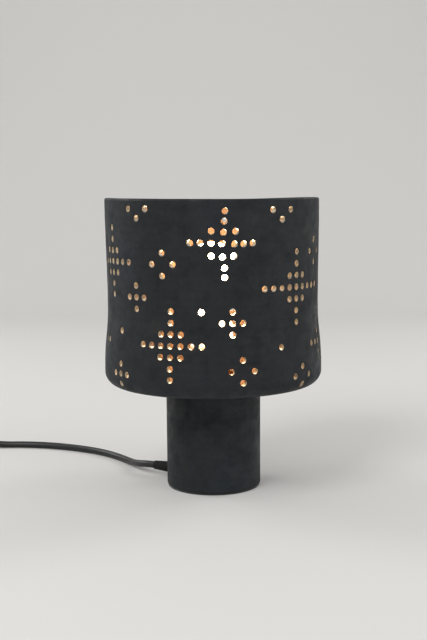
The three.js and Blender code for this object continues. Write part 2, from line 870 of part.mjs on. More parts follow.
add('cord_to_switch', freeTube(toSwitch), blackSheath, flexible);
add('cord_to_coil', freeTube(toCoil), blackSheath, flexible);
add('cord_coil', tube(coilRoute, cordDiameter, 6, coilRoute.length), blackSheath, flexible);
add('cord_to_plug', freeTube(toPlug), blackSheath, flexible);

// The least gap between two turns of the coil, on points along it
function coilGap() {
  const samples = Array.from({ length: 1500 }, (_, i) => turnPoint((i / 1499) * coilTurns));
  const apart = Math.round(1500 / coilTurns / 2);
  let least = Infinity;
  samples.forEach((p, i) => {
    for (let j = i + apart; j < samples.length; j += 1) {
      const q = samples[j];
      least = Math.min(least, Math.hypot(p[0] - q[0], p[1] - q[1], p[2] - q[2]));
    }
  });
  return least - cordDiameter;
}

const coilLength = pathThrough(coilRoute).getLength();
const freeLength = [toSwitch, toCoil, toPlug].reduce((sum, route) => sum + pathThrough(route).getLength(), 0);
const cordLength = reliefLength + freeLength + coilLength + switchCordEnd * 2;
console.log(`least gap between the coil's turns: ${coilGap().toFixed(2)} mm`);
console.log(`cord from the foot to the plug: ${(cordLength / 1000).toFixed(3)} m`);

// The strap round the coil's turns
function cordTie() {
  const turns = Array.from({ length: Math.ceil(coilTurns) + 1 }, (_, i) => i + (tieAngle - coilStart) / 360);
  const radii = turns.filter((turn) => turn <= coilTurns).map(turnRadius);
  const inner = Math.min(...radii) - cordRadius - fit;
  const outer = Math.max(...radii) + cordRadius + fit;
  const top = cordHeight + turnPitch + tieLift + cordRadius + fit;
  const [length, height] = [outer - inner, top - tieThickness];
  const hole = roundedBlock(length, height, 2.5, -tieWidth, tieWidth * 2, 3);
  const loop = roundedBlock(length + tieThickness * 2, height + tieThickness * 2, 3.5, 0, tieWidth, 3);
  const strap = cut(loop, hole).translate(0, 0, -tieWidth / 2);
  return strap.rotateX(Math.PI / 2)
    .translate((inner + outer) / 2, 0, tieThickness + height / 2)
    .rotateZ(radians(tieAngle))
    .translate(coilX, coilY, 0);
}

add('cord_tie', cordTie(), blackRubber, flexible);

// Inline switch, in its own group: the cord runs along X
const inlineSwitch = new THREE.Group();
inlineSwitch.position.set(switchX, switchY, 0);
flexible.add(inlineSwitch);

const innerLength = switchLength - switchWall * 2;
const innerWidth = switchWidth - switchWall * 2;
const innerRadius = switchCorner - switchWall;
const screwPlaces = [[switchScrewX, -switchScrewY], [-switchScrewX, switchScrewY]];
const pivotHeight = switchHeight - rockerPivot;
const roofInside = switchHeight - switchWall;

function switchEntries() {
  return along('x', rod(cordBore, -switchLength, switchLength)).translate(0, 0, switchSplit);
}

function screwHoles(radius, bottom, top) {
  return screwPlaces.map(([x, y]) => rod(radius, bottom, top, pinSteps).translate(x, y, 0));
}

function switchBase() {
  return cut(
    roundedBlock(switchLength, switchWidth, switchCorner, 0, switchSplit),
    roundedBlock(innerLength, innerWidth, innerRadius, switchWall, switchHeight),
    switchEntries(),
    ...screwHoles(switchScrewDiameter / 2 + fit, -1, switchWall + 1),
    ...screwHoles(switchScrewHead / 2 + fit, -1, switchWall * 0.75),
  );
}

function switchCover() {
  const hollow = roundedBlock(innerLength, innerWidth, innerRadius, 0, roofInside);
  const shell = cut(roundedBlock(switchLength, switchWidth, switchCorner, switchSplit, switchHeight), hollow);
  const lugY = rockerWidth / 2 + fit * 2 + lugThickness / 2;
  const lugHeight = roofInside - pivotHeight + rockerPinDiameter * 1.2;
  const lugs = [-lugY, lugY].map((y) => (
    box(rockerPinDiameter * 2.6, lugThickness, lugHeight + 1, 0, y, roofInside - lugHeight)
  ));
  const bosses = screwHoles(switchBossDiameter / 2, switchWall + fit, roofInside + 1);
  const pinHole = along('y', rod(rockerPinDiameter / 2 + fit, -switchWidth / 3, switchWidth / 3, pinSteps));
  return cut(
    joined(shell, ...lugs, ...bosses),
    box(rockerOpening, rockerWidth + fit * 3, switchHeight, 0, 0, roofInside - 1),
    switchEntries(),
    ...screwHoles(switchScrewDiameter / 2 + fit, 0, roofInside - switchWall),
    pinHole.translate(0, 0, pivotHeight),
  );
}

// The rocker and its contact, drawn about the pivot and tilted to on
function onRocker(geometry) {
  return geometry.rotateY(radians(rockerThrow)).translate(0, 0, pivotHeight);
}

function rocker() {
  const half = rockerLength / 2;
  const outline = shapeOf([
    [-half, rockerPivot + 1.2], [-half + 0.4, 0.8], [-3.5, -3.2], [3.5, -3.2],
    [half - 0.4, 0.8], [half, rockerPivot + 1.2], [0, rockerPivot - 0.5],
  ]);
  const block = new THREE.ExtrudeGeometry(outline, { depth: rockerWidth, bevelEnabled: false });
  const body = block.rotateX(Math.PI / 2).translate(0, rockerWidth / 2, 0);
  return cut(body, along('y', rod(rockerPinDiameter / 2 + fit, -rockerWidth, rockerWidth, pinSteps)));
}

const bridgeTop = -3.2 - fit;
const bridgeDrop = 1.1;

function bridgeContact() {
  const bend = [[-3.2, bridgeTop], [3.2, bridgeTop], [bridgeReach, bridgeTop - bridgeDrop]];
  return bentStrip(bend, bridgeThickness, bridgeWidth);
}

function contactPosts() {
  const [sin, cos] = [Math.sin(radians(rockerThrow)), Math.cos(radians(rockerThrow))];
  const low = bridgeTop - bridgeDrop - bridgeThickness;
  const top = pivotHeight - bridgeReach * sin + low * cos - fit;
  const x = bridgeReach * cos + low * sin - postLength / 3;
  return [-1, 1].map((side) => (
    box(postLength, postWidth, top - switchWall, x, (side * postSpacing) / 2, switchWall)
  ));
}

function switchScrew([x, y]) {
  const head = rod(switchScrewHead / 2, fit, switchWall * 0.75 - fit, pinSteps);
  return joined(head, rod(switchScrewDiameter / 2, fit * 2, pivotHeight - fit, pinSteps)).translate(x, y, 0);
}

function switchWires() {
  const end = switchCordEnd - fit;
  const low = switchWall + wireDiameter;
  const post = bridgeReach + 2;
  const leave = (side, y) => [
    [side * end, y, switchSplit],
    [side * (end - wireDiameter), y, switchSplit],
  ];
  const incoming = [...leave(1, -1.5), [post + 4, -2.2, low + 0.4], [post + 0.4, -2.2, low]];
  const outgoing = [
    ...leave(-1, -1.5), [-end + 7, -3, low + 1], [-10, -4.6, low], [0, 1.6, low], [4.4, 2.2, low],
  ];
  const straight = [
    ...leave(1, 1.5), [end - 7, 4, low + 1], [13, 8.4, low],
    [-6, 8.4, low], [-end + 9, 4.4, low + 1], ...leave(-1, 1.5).reverse(),
  ];
  return [
    ['switch_wire_in', incoming, brownWire],
    ['switch_wire_out', outgoing, brownWire],
    ['switch_wire_neutral', straight, blueWire],
  ];
}

function rockerPin() {
  const reach = rockerWidth / 2 + fit * 2 + lugThickness;
  return along('y', rod(rockerPinDiameter / 2, -reach, reach, pinSteps)).translate(0, 0, pivotHeight);
}

add('switch_base', switchBase(), blackPlastic, inlineSwitch);
add('switch_cover', switchCover(), blackPlastic, inlineSwitch);
add('switch_rocker', onRocker(rocker()), blackPlastic, inlineSwitch);
add('rocker_pin', rockerPin(), steel, inlineSwitch);
add('bridge_contact', onRocker(bridgeContact()), bronze, inlineSwitch);
contactPosts().forEach((post, i) => add(`fixed_contact_${i + 1}`, post, brass, inlineSwitch));
screwPlaces.forEach((place, i) => add(`switch_screw_${i + 1}`, switchScrew(place), steel, inlineSwitch));
for (const [name, route, material] of switchWires()) {
  add(name, tube(route, wireDiameter, 5, route.length * 2), material, inlineSwitch);
}

// Plug, in its own group: its tail is at the origin and its pins point along X
const plug = new THREE.Group();
plug.position.set(plugX, plugY, plugThickness / 2);
flexible.add(plug);

function plugBody() {
  const [half, neck] = [plugWidth / 2, plugThickness / 2];
  const flare = plugTail + (plugLength - plugTail) * 0.45;
  const outline = shapeOf([
    [plugTail - 2, -neck], [flare, -half], [plugLength, -half],
    [plugLength, half], [flare, half], [plugTail - 2, neck],
  ]);
  const block = new THREE.ExtrudeGeometry(outline, {
    depth: plugThickness - plugEdge * 2,
    bevelThickness: plugEdge,
    bevelSize: plugEdge,
    bevelOffset: -plugEdge,
    bevelSegments: 2,
  }).translate(0, 0, plugEdge - plugThickness / 2);
  const tail = along('x', turned([
    [0, 0], [reliefTip / 2, 0], [reliefRoot / 2, plugTail], [reliefRoot / 2, plugTail + 4], [0, plugTail + 4],
  ]));
  const pinHoles = [-1, 1].map((side) => {
    const hole = rod(pinCore / 2 + fit, plugLength - pinRoot - fit, plugLength + 1, pinSteps);
    return along('x', hole).translate(0, (side * pinSpacing) / 2, 0);
  });
  return cut(joined(block, tail), along('x', rod(cordBore, -1, cordInPlug + fit)), ...pinHoles);
}

function plugPin(side) {
  const sleeveEnd = plugLength + sleeveLength + fit * 2;
  const tip = plugLength + pinLength;
  const outline = [
    [0, plugLength - pinRoot], [pinCore / 2, plugLength - pinRoot], [pinCore / 2, sleeveEnd],
    [pinDiameter / 2, sleeveEnd], [pinDiameter / 2, tip - 1], [pinDiameter / 4, tip], [0, tip],
  ];
  return along('x', turned(outline, pinSteps)).translate(0, (side * pinSpacing) / 2, 0);
}

function pinSleeve(side) {
  const inner = pinCore / 2 + fit;
  const start = plugLength + fit;
  const sleeve = ring(inner, inner + sleeveWall, start, start + sleeveLength, pinSteps);
  return along('x', sleeve).translate(0, (side * pinSpacing) / 2, 0);
}

add('plug_body', plugBody(), blackPlastic, plug);
for (const [number, side] of [[1, -1], [2, 1]]) {
  add(`plug_pin_${number}`, plugPin(side), bulbMetal, plug);
  add(`pin_sleeve_${number}`, pinSleeve(side), blackPlastic, plug);
}

export default lamp;
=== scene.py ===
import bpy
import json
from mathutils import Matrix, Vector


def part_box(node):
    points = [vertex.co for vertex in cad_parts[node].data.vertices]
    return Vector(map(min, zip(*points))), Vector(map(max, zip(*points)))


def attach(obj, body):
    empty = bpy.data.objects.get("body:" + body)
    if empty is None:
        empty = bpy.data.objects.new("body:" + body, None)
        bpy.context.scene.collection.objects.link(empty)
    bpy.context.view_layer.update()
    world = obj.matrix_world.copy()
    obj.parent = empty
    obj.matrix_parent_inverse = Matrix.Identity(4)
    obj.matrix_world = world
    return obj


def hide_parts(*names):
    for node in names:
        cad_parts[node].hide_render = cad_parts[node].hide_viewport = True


bl_info = {
    "name": "Pierced stoneware lamp",
    "version": (1, 0, 0),
    "blender": (4, 5, 0),
    "location": "3D View > Sidebar > Lamp",
    "description": "Fine surfaces and finishes for a pierced stoneware table lamp",
    "category": "Object",
}

import json
import math

import bmesh
import bpy
from bpy.props import FloatProperty, FloatVectorProperty, IntProperty, PointerProperty
from mathutils import Matrix, Vector, noise
from mathutils.geometry import interpolate_bezier

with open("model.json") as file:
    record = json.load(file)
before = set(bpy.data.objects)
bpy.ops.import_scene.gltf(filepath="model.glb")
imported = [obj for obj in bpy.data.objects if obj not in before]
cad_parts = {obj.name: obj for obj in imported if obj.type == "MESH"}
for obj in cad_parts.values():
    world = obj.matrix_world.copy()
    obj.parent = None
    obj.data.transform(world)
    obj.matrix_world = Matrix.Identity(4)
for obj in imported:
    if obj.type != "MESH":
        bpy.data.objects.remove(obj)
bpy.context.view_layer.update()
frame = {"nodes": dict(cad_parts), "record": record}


def span(node):
    """A solid's lowest and highest place, and half its width"""
    low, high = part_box(node)
    return low[2], high[2], (high[0] - low[0]) / 2


def shift(x, y, z):
    return Matrix.Translation((x, y, z))


def rotation(degrees, axis):
    return Matrix.Rotation(math.radians(degrees), 4, axis)


def aimed(spot, direction, axis):
    """A place whose axis points in a direction, with Y as nearly up as that leaves"""
    return shift(*spot) @ direction.to_track_quat(axis, "Y").to_matrix().to_4x4()


# Places and sizes that several pieces share, in metres
DRUM_LOW, DRUM_HIGH, DRUM_RADIUS = span("shade_drum")
DRUM_TALL = DRUM_HIGH - DRUM_LOW
FLAT_MIDDLE = 0.03  # the clamp holds the clay within this radius
PIPE_HOLE = 0.0055
PIPE_CREST = 0.005
FIT = 0.0003  # room between two pieces that fit together
NEAR = 0.0005  # margin for telling a face inside from one outside
FOOT_SIDE = 0.0442
RELIEF_TIP = FOOT_SIDE + 0.0223
CORD_ANGLE = 150
CORD_OUT = Vector((math.cos(math.radians(CORD_ANGLE)), math.sin(math.radians(CORD_ANGLE)), 0))
CORD_HOLE_HEIGHT = 0.0095
SWITCH_PLACE = Vector((-0.293, 0.15, 0))
SWITCH_CORD_END = 0.027
SWITCH_SPLIT = 0.0075
ALONG_X = rotation(90, "Y")
ALONG_Y = rotation(-90, "X")
ALONG_CORD = shift(0, 0, CORD_HOLE_HEIGHT) @ rotation(CORD_ANGLE, "Z") @ ALONG_X
AT_SWITCH = shift(*SWITCH_PLACE)
AT_PLUG = shift(-0.297, -0.0086, 0.00685)


def cross(across, up):
    """The holes of a cross, as (stitches to the right, stitches up)"""
    arms = [(i * side, 0) for i in range(1, across + 1) for side in (1, -1)]
    return [(0, 0)] + arms + [(0, i * side) for i in range(1, up + 1) for side in (1, -1)]


CORNERS = [(1, 1), (1, -1), (-1, 1), (-1, -1)]
LARGE_CROSS = cross(3, 3) + CORNERS
WIDE_CROSS = cross(4, 3) + CORNERS
SMALL_CROSS = cross(1, 1)
DIAMOND = [(1.1, 0), (-1.1, 0), (0, 1), (0, -1)]
RIM_DIAMOND = [(1.1, 0), (-1.1, 0), (0, -0.85)]
DOT = [(0, 0)]
# The large cross at the front, whose arms aren't straight
FRONT_CROSS = [
    (0.39, 2.96), (0.31, 2.04), (-0.88, 1.16), (0.25, 1.06), (1.35, 1.12),
    (-2.86, 0.1), (-1.92, 0.1), (-0.9, 0.08), (0.12, 0.02), (1.25, -0.02), (2.12, -0.02), (3.02, 0.04),
    (-0.88, -1.1), (0.17, -1.2), (1.2, -1.12), (0.35, -2.2), (0.35, -3.06),
]

# Each kind of motif and where its middles are: degrees to the right of the front, height above the drum's
# underside in metres and, where it isn't the usual one, the rise of one stitch
MOTIFS = [
    (FRONT_CROSS, [(4.3, 0.1332, 0.0093)]),
    (LARGE_CROSS, [(-21.6, 0.0466)]),
    (WIDE_CROSS, [(48.6, 0.0941, 0.0102)]),
    (LARGE_CROSS, [
        (-64, 0.1166), (78.4, 0.0423), (113, 0.1195), (152, 0.0598), (190, 0.1138), (230, 0.0645),
        (273.6, 0.0458)]),
    (SMALL_CROSS, [
        (-42.8, 0.0867, 0.0101), (10.1, 0.066), (-54.3, 0.0178, 0.0091), (97, 0.092), (112, 0.022),
        (172, 0.018), (250, 0.118)]),
    (DIAMOND, [
        (-26, 0.1158), (14.9, 0.0248), (51.9, 0.0158, 0.008), (67.5, 0.1243), (133, 0.098), (112, 0.055),
        (192, 0.052), (226, 0.124), (252, 0.019, 0.009), (268, 0.094)]),
    (RIM_DIAMOND, [
        (-41.2, 0.1628, 0.0094), (37.8, 0.1613), (84, 0.164), (146, 0.1636), (214, 0.1644), (272, 0.164)]),
    (DOT, [(-5.8, 0.0755), (-55, 0.056), (36.8, 0.0432), (132, 0.024), (212, 0.03), (172, 0.15)]),
]


def metres(name, description, default):
    return FloatProperty(name=name, description=description, default=default, unit="LENGTH")


def colour(name, description, default):
    return FloatVectorProperty(name=name, description=description, default=default, subtype="COLOR")


class LampSizes(bpy.types.PropertyGroup):
    """Sizes of the ceramic body, its piercing and its cord"""
    bulge: metres("Bulge", "Diameter of the drum at its widest, low on the side", DRUM_RADIUS * 2)
    bulge_height: metres("Bulge height", "Height of the widest place above the drum's underside", 0.02)
    waist: metres("Waist", "Diameter of the drum at its narrowest", 0.1952)
    waist_height: metres("Waist height", "Height of the waist above the drum's underside", 0.072)
    rim: metres("Rim", "Diameter of the drum's rim", 0.1978)
    wall: metres("Wall", "Thickness of the clay", 0.006)
    floor: metres("Floor", "Thickness of the drum's floor", 0.007)
    corner: metres("Corner", "Radius of the drum's lower corner", 0.0127)
    inner_corner: metres("Inner corner", "Radius between the floor and the wall", 0.008)
    unevenness: metres("Unevenness", "How far the hand-made wall strays from round", 0.0006)
    rim_wave: metres("Rim wave", "How much higher the rim stands at the sides than in front", 0.0014)
    hole: metres("Hole", "Diameter of a hole", 0.0056)
    mouth: metres("Mouth", "Rounding of a hole's mouth", 0.0005)
    stitch_angle: FloatProperty(
        name="Stitch", description="Angle between two neighbouring holes of a motif",
        default=math.radians(5.35), subtype="ANGLE")
    stitch_rise: metres("Stitch rise", "Height between two neighbouring holes of a motif", 0.0098)
    cord: metres("Cord", "Diameter of the cord", 0.0068)
    turn_pitch: metres("Turn pitch", "Distance between neighbouring turns of the coil", 0.00745)
    around: IntProperty(
        name="Facets", description="Facets round the drum and the foot", default=256, min=24)


class LampColours(bpy.types.PropertyGroup):
    """Colours of the lamp"""
    stoneware: colour("Stoneware", "Outside of the drum and the foot", (0.0068, 0.0098, 0.0138))
    grain: colour("Grain", "Sand that shows in the stoneware", (0.06, 0.059, 0.057))
    clay: colour("Clay", "Bare clay inside", (0.3, 0.175, 0.095))
    bore: colour("Bore", "Smooth glaze in the holes", (0.62, 0.54, 0.41))
    glow: colour("Glow", "Light of the bulb", (1.0, 0.77, 0.5))
    plastic: colour("Plastic", "Switch and plug", (0.012, 0.012, 0.0125))
    lampholder: colour("Lampholder", "White plastic of the lampholder", (0.8, 0.78, 0.73))
    sheath: colour("Sheath", "The cord", (0.008, 0.008, 0.0085))
    felt: colour("Felt", "Ring under the foot", (0.03, 0.029, 0.028))
    brightness: FloatProperty(
        name="Brightness", description="Strength of the bulb's light", default=38.0, min=0)


class StageSettings(bpy.types.PropertyGroup):
    """The floor, the lamps and the camera"""
    floor: colour("Floor", "Colour of the floor and backdrop", (0.72, 0.71, 0.69))
    surround: FloatProperty(
        name="Surround", description="Strength of the light from all sides", default=0.42, min=0)
    key: FloatProperty(name="Key", description="Power of the main lamp", default=26.0, unit="POWER")
    lens: metres("Lens", "Focal length of the camera", 0.05906)


# Shapes
def arc(x, z, radius, start, end, steps):
    """Points of an arc, from one angle in degrees to another"""
    angles = [math.radians(start + (end - start) * i / steps) for i in range(steps + 1)]
    return [(x + radius * math.cos(a), z + radius * math.sin(a)) for a in angles]


def ring(inner, outer, low, high):
    return [(inner, low), (outer, low), (outer, high), (inner, high)]


def ribs(count, low, high, first, last, depth, share):
    """An outline of ribs whose radius goes from first to last, each as wide as a share of its step"""
    outline = []
    step = (high - low) / count
    for i in range(count):
        crest = first + (last - first) * (i + 0.5) / count
        root = crest - depth
        for radius, at in ((crest, 0), (crest, share), (root, share + 0.06), (root, share + 0.36)):
            outline.append((radius, low + step * (i + at)))
    return outline


def spun(outline, steps):
    """Turns an outline of (radius, height) about Z. It starts and ends on the axis, or closes on itself."""
    bm = bmesh.new()
    points = [bm.verts.new((r, 0, z)) for r, z in outline]
    lines = [bm.edges.new(pair) for pair in zip(points, points[1:])]
    if outline[0][0] > 0:
        lines.append(bm.edges.new((points[-1], points[0])))
    bmesh.ops.spin(
        bm, geom=points + lines, cent=(0, 0, 0), axis=(0, 0, 1), angle=math.tau, steps=steps, use_merge=True)
    bmesh.ops.remove_doubles(bm, verts=bm.verts, dist=1e-6)
    face_outwards(bm)
    return bm


def rod(bm, radius, low, high, steps, where):
    bmesh.ops.create_cone(
        bm, cap_ends=True, segments=steps, radius1=radius, radius2=radius, depth=high - low,
        matrix=where @ shift(0, 0, (low + high) / 2))


def block(bm, size, centre):
    bmesh.ops.create_cube(bm, size=1, matrix=shift(*centre) @ Matrix.Diagonal((*size, 1)))


def face_outwards(bm):
    bmesh.ops.recalc_face_normals(bm, faces=bm.faces)


def bevel(bm, geom, width, segments, affect="EDGES"):
    bmesh.ops.bevel(
        bm, geom=geom, offset=width, offset_type="OFFSET", segments=segments, profile=0.5, affect=affect,
        material=-1, clamp_overlap=True)


def folds(bm, degrees=40):
    """The edges between two faces that meet at more than an angle"""
    return [e for e in bm.edges if len(e.link_faces) == 2 and e.calc_face_angle() > math.radians(degrees)]


def soften(bm, width, segments=2, degrees=40):
    """Rounds every edge sharper than an angle"""
    bevel(bm, folds(bm, degrees), width, segments)


def rounded_block(length, width, corner, low, high, steps=8):
    """An upright block whose four upright edges are rounded"""
    bm = bmesh.new()
    block(bm, (length, width, high - low), (0, 0, (low + high) / 2))
    uprights = [e for e in bm.edges if (e.verts[0].co - e.verts[1].co).xy.length < 1e-6]
    bevel(bm, uprights, corner, steps)
    return bm


def extrude(bm, along):
    """Draws out the face of an outline, or its edges where it has no face"""
    if len(bm.faces):
        grown = bmesh.ops.extrude_face_region(bm, geom=bm.faces[:], use_keep_orig=True)
    else:
        grown = bmesh.ops.extrude_edge_only(bm, edges=bm.edges[:])
    bmesh.ops.translate(
        bm, verts=[v for v in grown["geom"] if isinstance(v, bmesh.types.BMVert)], vec=along)


def slab(outline, depth, corner=0.0):
    """A block of an outline in X and Y, from Z = 0 up, with its outline's corners rounded"""
    bm = bmesh.new()
    points = [bm.verts.new((x, y, 0)) for x, y in outline]
    bm.faces.new(points)
    if corner:
        bevel(bm, points, corner, 8, "VERTICES")
    extrude(bm, (0, 0, depth))
    face_outwards(bm)
    return bm


def from_axis(point):
    """A point's distance from the lamp's axis, and the direction away from it"""
    radius = math.hypot(point.x, point.y)
    return radius, Vector((point.x, point.y, 0)) / max(radius, 1e-9)


# Pieces
FINISHES = {}


def linked(name, data):
    made = bpy.data.objects.new(name, data)
    bpy.context.scene.collection.objects.link(made)
    return made


def as_mesh(bm, name):
    mesh = bpy.data.meshes.new(name)
    bm.to_mesh(mesh)
    bm.free()
    return mesh


def smooth(mesh, sharp=35):
    """Shades a mesh smooth, but for the edges sharper than an angle"""
    mesh.shade_smooth()
    mesh.set_sharp_from_angle(angle=math.radians(sharp))


def as_object(bm, name, *finishes):
    mesh = as_mesh(bm, name)
    for finish in finishes:
        mesh.materials.append(FINISHES[finish])
    smooth(mesh)
    return linked(name, mesh)


def drop_spare_points(mesh):
    """Takes out the points that a cut leaves halfway along straight edges"""
    bm = bmesh.new()
    bm.from_mesh(mesh)
    spare = [v for v in bm.verts if len(v.link_edges) == 2 and v.calc_edge_angle() < 0.001]
    bmesh.ops.dissolve_verts(bm, verts=spare)
    bmesh.ops.dissolve_degenerate(bm, dist=1e-7, edges=bm.edges)
    bm.to_mesh(mesh)
    bm.free()


def carve(piece, bm, sharp=35):
    """Cuts a shape out of a piece"""
    cutter = as_object(bm, "cutter")
    cutting = piece.modifiers.new("Carve", "BOOLEAN")
    cutting.object = cutter
    cutting.solver = "EXACT"
    cutting.material_mode = "INDEX"
    shaped = piece.evaluated_get(bpy.context.evaluated_depsgraph_get())
    mesh = bpy.data.meshes.new_from_object(shaped)
    piece.modifiers.clear()
    piece.data = mesh
    bpy.data.objects.remove(cutter)
    if len(mesh.polygons) == 0:
        raise RuntimeError(f"nothing is left of {piece.name}")
    drop_spare_points(mesh)
    smooth(mesh, sharp)


def drill(piece, radius, low, high, steps, *places):
    """Drills a piece from one height to another, in each of the places"""
    bm = bmesh.new()
    for where in places:
        rod(bm, radius, low, high, steps, where)
    carve(piece, bm)


def place(piece, body, slot, *nodes):
    """Says which body a piece rides on and which solids it stands for; slot, the finish it would take, is not
    used
    """
    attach(piece, body)
    if nodes:
        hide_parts(*nodes)


def settle(piece, where, body, slot, *nodes):
    """Moves a piece that was made at the origin to its place"""
    piece.data.transform(where)
    place(piece, body, slot, *nodes)


def turned(name, outline, steps, body, slot, *nodes, edge=0.0003, where=Matrix()):
    """A turned piece with softened edges"""
    bm = spun(outline, steps)
    if edge:
        soften(bm, edge)
    settle(as_object(bm, name, slot), where, body, slot, *nodes)


# Finishes
class Paint:
    """A Principled material, and short calls that add nodes to it"""

    def __init__(self, name, roughness, metallic=0.0, **sockets):
        self.material = bpy.data.materials.new(name)
        self.material.use_nodes = True
        self.tree = self.material.node_tree
        self.shader = self.tree.nodes["Principled BSDF"]
        self.give(Roughness=roughness, Metallic=metallic, **sockets)
        self.place = self.tree.nodes.new("ShaderNodeTexCoord").outputs["Object"]
        self.relief = None

    def feed(self, socket, value):
        if isinstance(value, bpy.types.NodeSocket):
            self.tree.links.new(value, socket)
        else:
            socket.default_value = (*value, 1) if socket.type == "RGBA" else value

    def fill(self, node, inputs):
        for name, value in inputs.items():
            self.feed(node.inputs[name.replace("_", " ")], value)
        return node

    def give(self, **inputs):
        """Sets the shader's own sockets"""
        self.fill(self.shader, inputs)

    def node(self, kind, **inputs):
        return self.fill(self.tree.nodes.new("ShaderNode" + kind), inputs)

    def stretched(self, up):
        return self.node("Mapping", Vector=self.place, Scale=(1, 1, up)).outputs["Vector"]

    def height(self):
        return self.node("SeparateXYZ", Vector=self.place).outputs["Z"]

    def noise(self, scale, detail=2.0, roughness=0.5, where=None, distortion=0.0):
        return self.node(
            "TexNoise", Vector=where or self.place, Scale=scale, Detail=detail, Roughness=roughness,
            Distortion=distortion).outputs["Fac"]

    def cells(self, scale):
        return self.node("TexVoronoi", Vector=self.place, Scale=scale).outputs["Distance"]

    def bands(self, scale, distortion):
        """Level rings, as a thrower's fingers leave"""
        made = self.node("TexWave", Vector=self.place, Scale=scale, Distortion=distortion, Detail=2.0)
        made.wave_type, made.bands_direction = "BANDS", "Z"
        return made.outputs["Fac"]

    def between(self, value, low, high, bottom, top):
        """A value's range from low to high as bottom to top"""
        return self.node(
            "MapRange", Value=value, From_Min=low, From_Max=high, To_Min=bottom, To_Max=top).outputs["Result"]

    def times(self, first, second):
        made = self.node("Math")
        made.operation = "MULTIPLY"
        self.feed(made.inputs[0], first)
        self.feed(made.inputs[1], second)
        return made.outputs[0]

    def mixed(self, value, low, high, first, second, most=1.0):
        """One colour where a value is low, and up to most of the other where it is high"""
        share = self.between(value, low, high, 0.0, most)
        made = self.tree.nodes.new("ShaderNodeMix")
        made.data_type = "RGBA"
        for index, wanted in ((0, share), (6, first), (7, second)):
            self.feed(made.inputs[index], wanted)
        return made.outputs[2]

    def rough(self, value, low, high):
        self.give(Roughness=self.between(value, 0.3, 0.7, low, high))

    def bump(self, height, strength, distance):
        """Adds a relief to the ones before it"""
        made = self.node("Bump", Height=height, Strength=strength, Distance=distance)
        if self.relief is not None:
            self.feed(made.inputs["Normal"], self.relief)
        self.relief = made.outputs["Normal"]
        self.give(Normal=self.relief)


def scaled(colour, factor, more=0.0):
    return tuple(min(1.0, factor * c + more) for c in colour)


def stoneware_finish(colours):
    """Unglazed black clay: soft clouds of iron, pale sand, throwing rings and a dry grain"""
    paint = Paint("black_stoneware", 0.7, Specular_IOR_Level=0.38)
    dark = colours.stoneware
    worn = scaled(dark, 1.9, 0.002)
    rusty = (dark[0] * 3.2 + 0.002, dark[1] * 1.9, dark[2] * 1.1)
    base = paint.mixed(paint.noise(17, 5, 0.6), 0.35, 0.62, scaled(dark, 0.5), dark)
    base = paint.mixed(paint.noise(9, 6, 0.72), 0.54, 0.74, base, worn, 0.75)
    base = paint.mixed(paint.noise(46, 6, 0.7), 0.57, 0.76, base, rusty, 0.6)
    rings = paint.bands(46, 3.0)
    base = paint.mixed(rings, 0.55, 1.0, base, worn, 0.08)
    paint.give(Base_Color=paint.mixed(paint.cells(900), 0.17, 0.07, base, colours.grain, 0.8))
    paint.rough(paint.noise(60, 5, 0.65), 0.42, 0.84)
    paint.bump(rings, 0.3, 0.0002)
    paint.bump(paint.noise(210, 4, 0.6), 0.5, 0.0005)
    paint.bump(paint.noise(1300, 3, 0.6), 0.55, 0.0002)
    return paint


def clay_finish(colours):
    """Bare brown clay with dark specks and deeper rings"""
    paint = Paint("bare_clay", 0.9, Specular_IOR_Level=0.25)
    base = paint.mixed(paint.noise(30, 5, 0.6), 0.35, 0.65, scaled(colours.clay, 0.8), colours.clay)
    paint.give(Base_Color=paint.mixed(paint.cells(420), 0.14, 0.06, base, (0.2, 0.12, 0.07), 0.5))
    paint.rough(paint.noise(150, 4), 0.82, 0.97)
    paint.bump(paint.bands(38, 2.5), 0.5, 0.0003)
    paint.bump(paint.noise(900, 4, 0.65), 0.5, 0.0002)
    return paint


def bore_finish(colours):
    """The smooth wall of a hole, which shines where the bulb's light grazes it"""
    paint = Paint("glazed_bore", 0.35, Specular_IOR_Level=0.85)
    pale = colours.bore
    paint.give(Base_Color=paint.mixed(paint.noise(240, 4, 0.6), 0.35, 0.65, scaled(pale, 0.6), pale))
    paint.rough(paint.noise(300, 3), 0.28, 0.44)
    paint.bump(paint.noise(700, 3, 0.6), 0.3, 0.0002)
    return paint


def felt_finish(colours):
    """Matted fibres with a soft sheen"""
    paint = Paint("felt", 1.0, Sheen_Weight=0.35, Sheen_Roughness=0.5, Specular_IOR_Level=0.1)
    grey = colours.felt
    paint.give(Base_Color=paint.mixed(
        paint.noise(1400, 4, 0.7), 0.35, 0.65, scaled(grey, 0.6), scaled(grey, 1.7)))
    paint.bump(paint.noise(2600, 4, 0.7, distortion=1.5), 0.9, 0.0004)
    return paint


def cork_finish():
    """Pressed cork grains with dark joints"""
    paint = Paint("cork", 0.92, Specular_IOR_Level=0.2)
    grains = paint.cells(620)
    base = paint.mixed(paint.noise(500, 4), 0.35, 0.65, (0.30, 0.155, 0.065), (0.48, 0.28, 0.13))
    paint.give(Base_Color=paint.mixed(grains, 0.28, 0.5, base, (0.11, 0.05, 0.022), 0.75))
    paint.rough(paint.noise(700), 0.85, 0.98)
    paint.bump(grains, 0.8, 0.0004)
    return paint


def metal_finish(name, pale, dull, low, high):
    """A metal with fine drawn lines, cloudy tarnish and small scratches"""
    paint = Paint(name, 0.35, 1.0)
    lines = paint.noise(420, 3, 0.6, where=paint.stretched(14))
    paint.give(Base_Color=paint.mixed(paint.noise(70, 4, 0.6), 0.4, 0.68, pale, dull))
    paint.rough(lines, low, high)
    paint.bump(lines, 0.25, 0.00005)
    paint.bump(paint.noise(1700, 2), 0.15, 0.00004)
    return paint


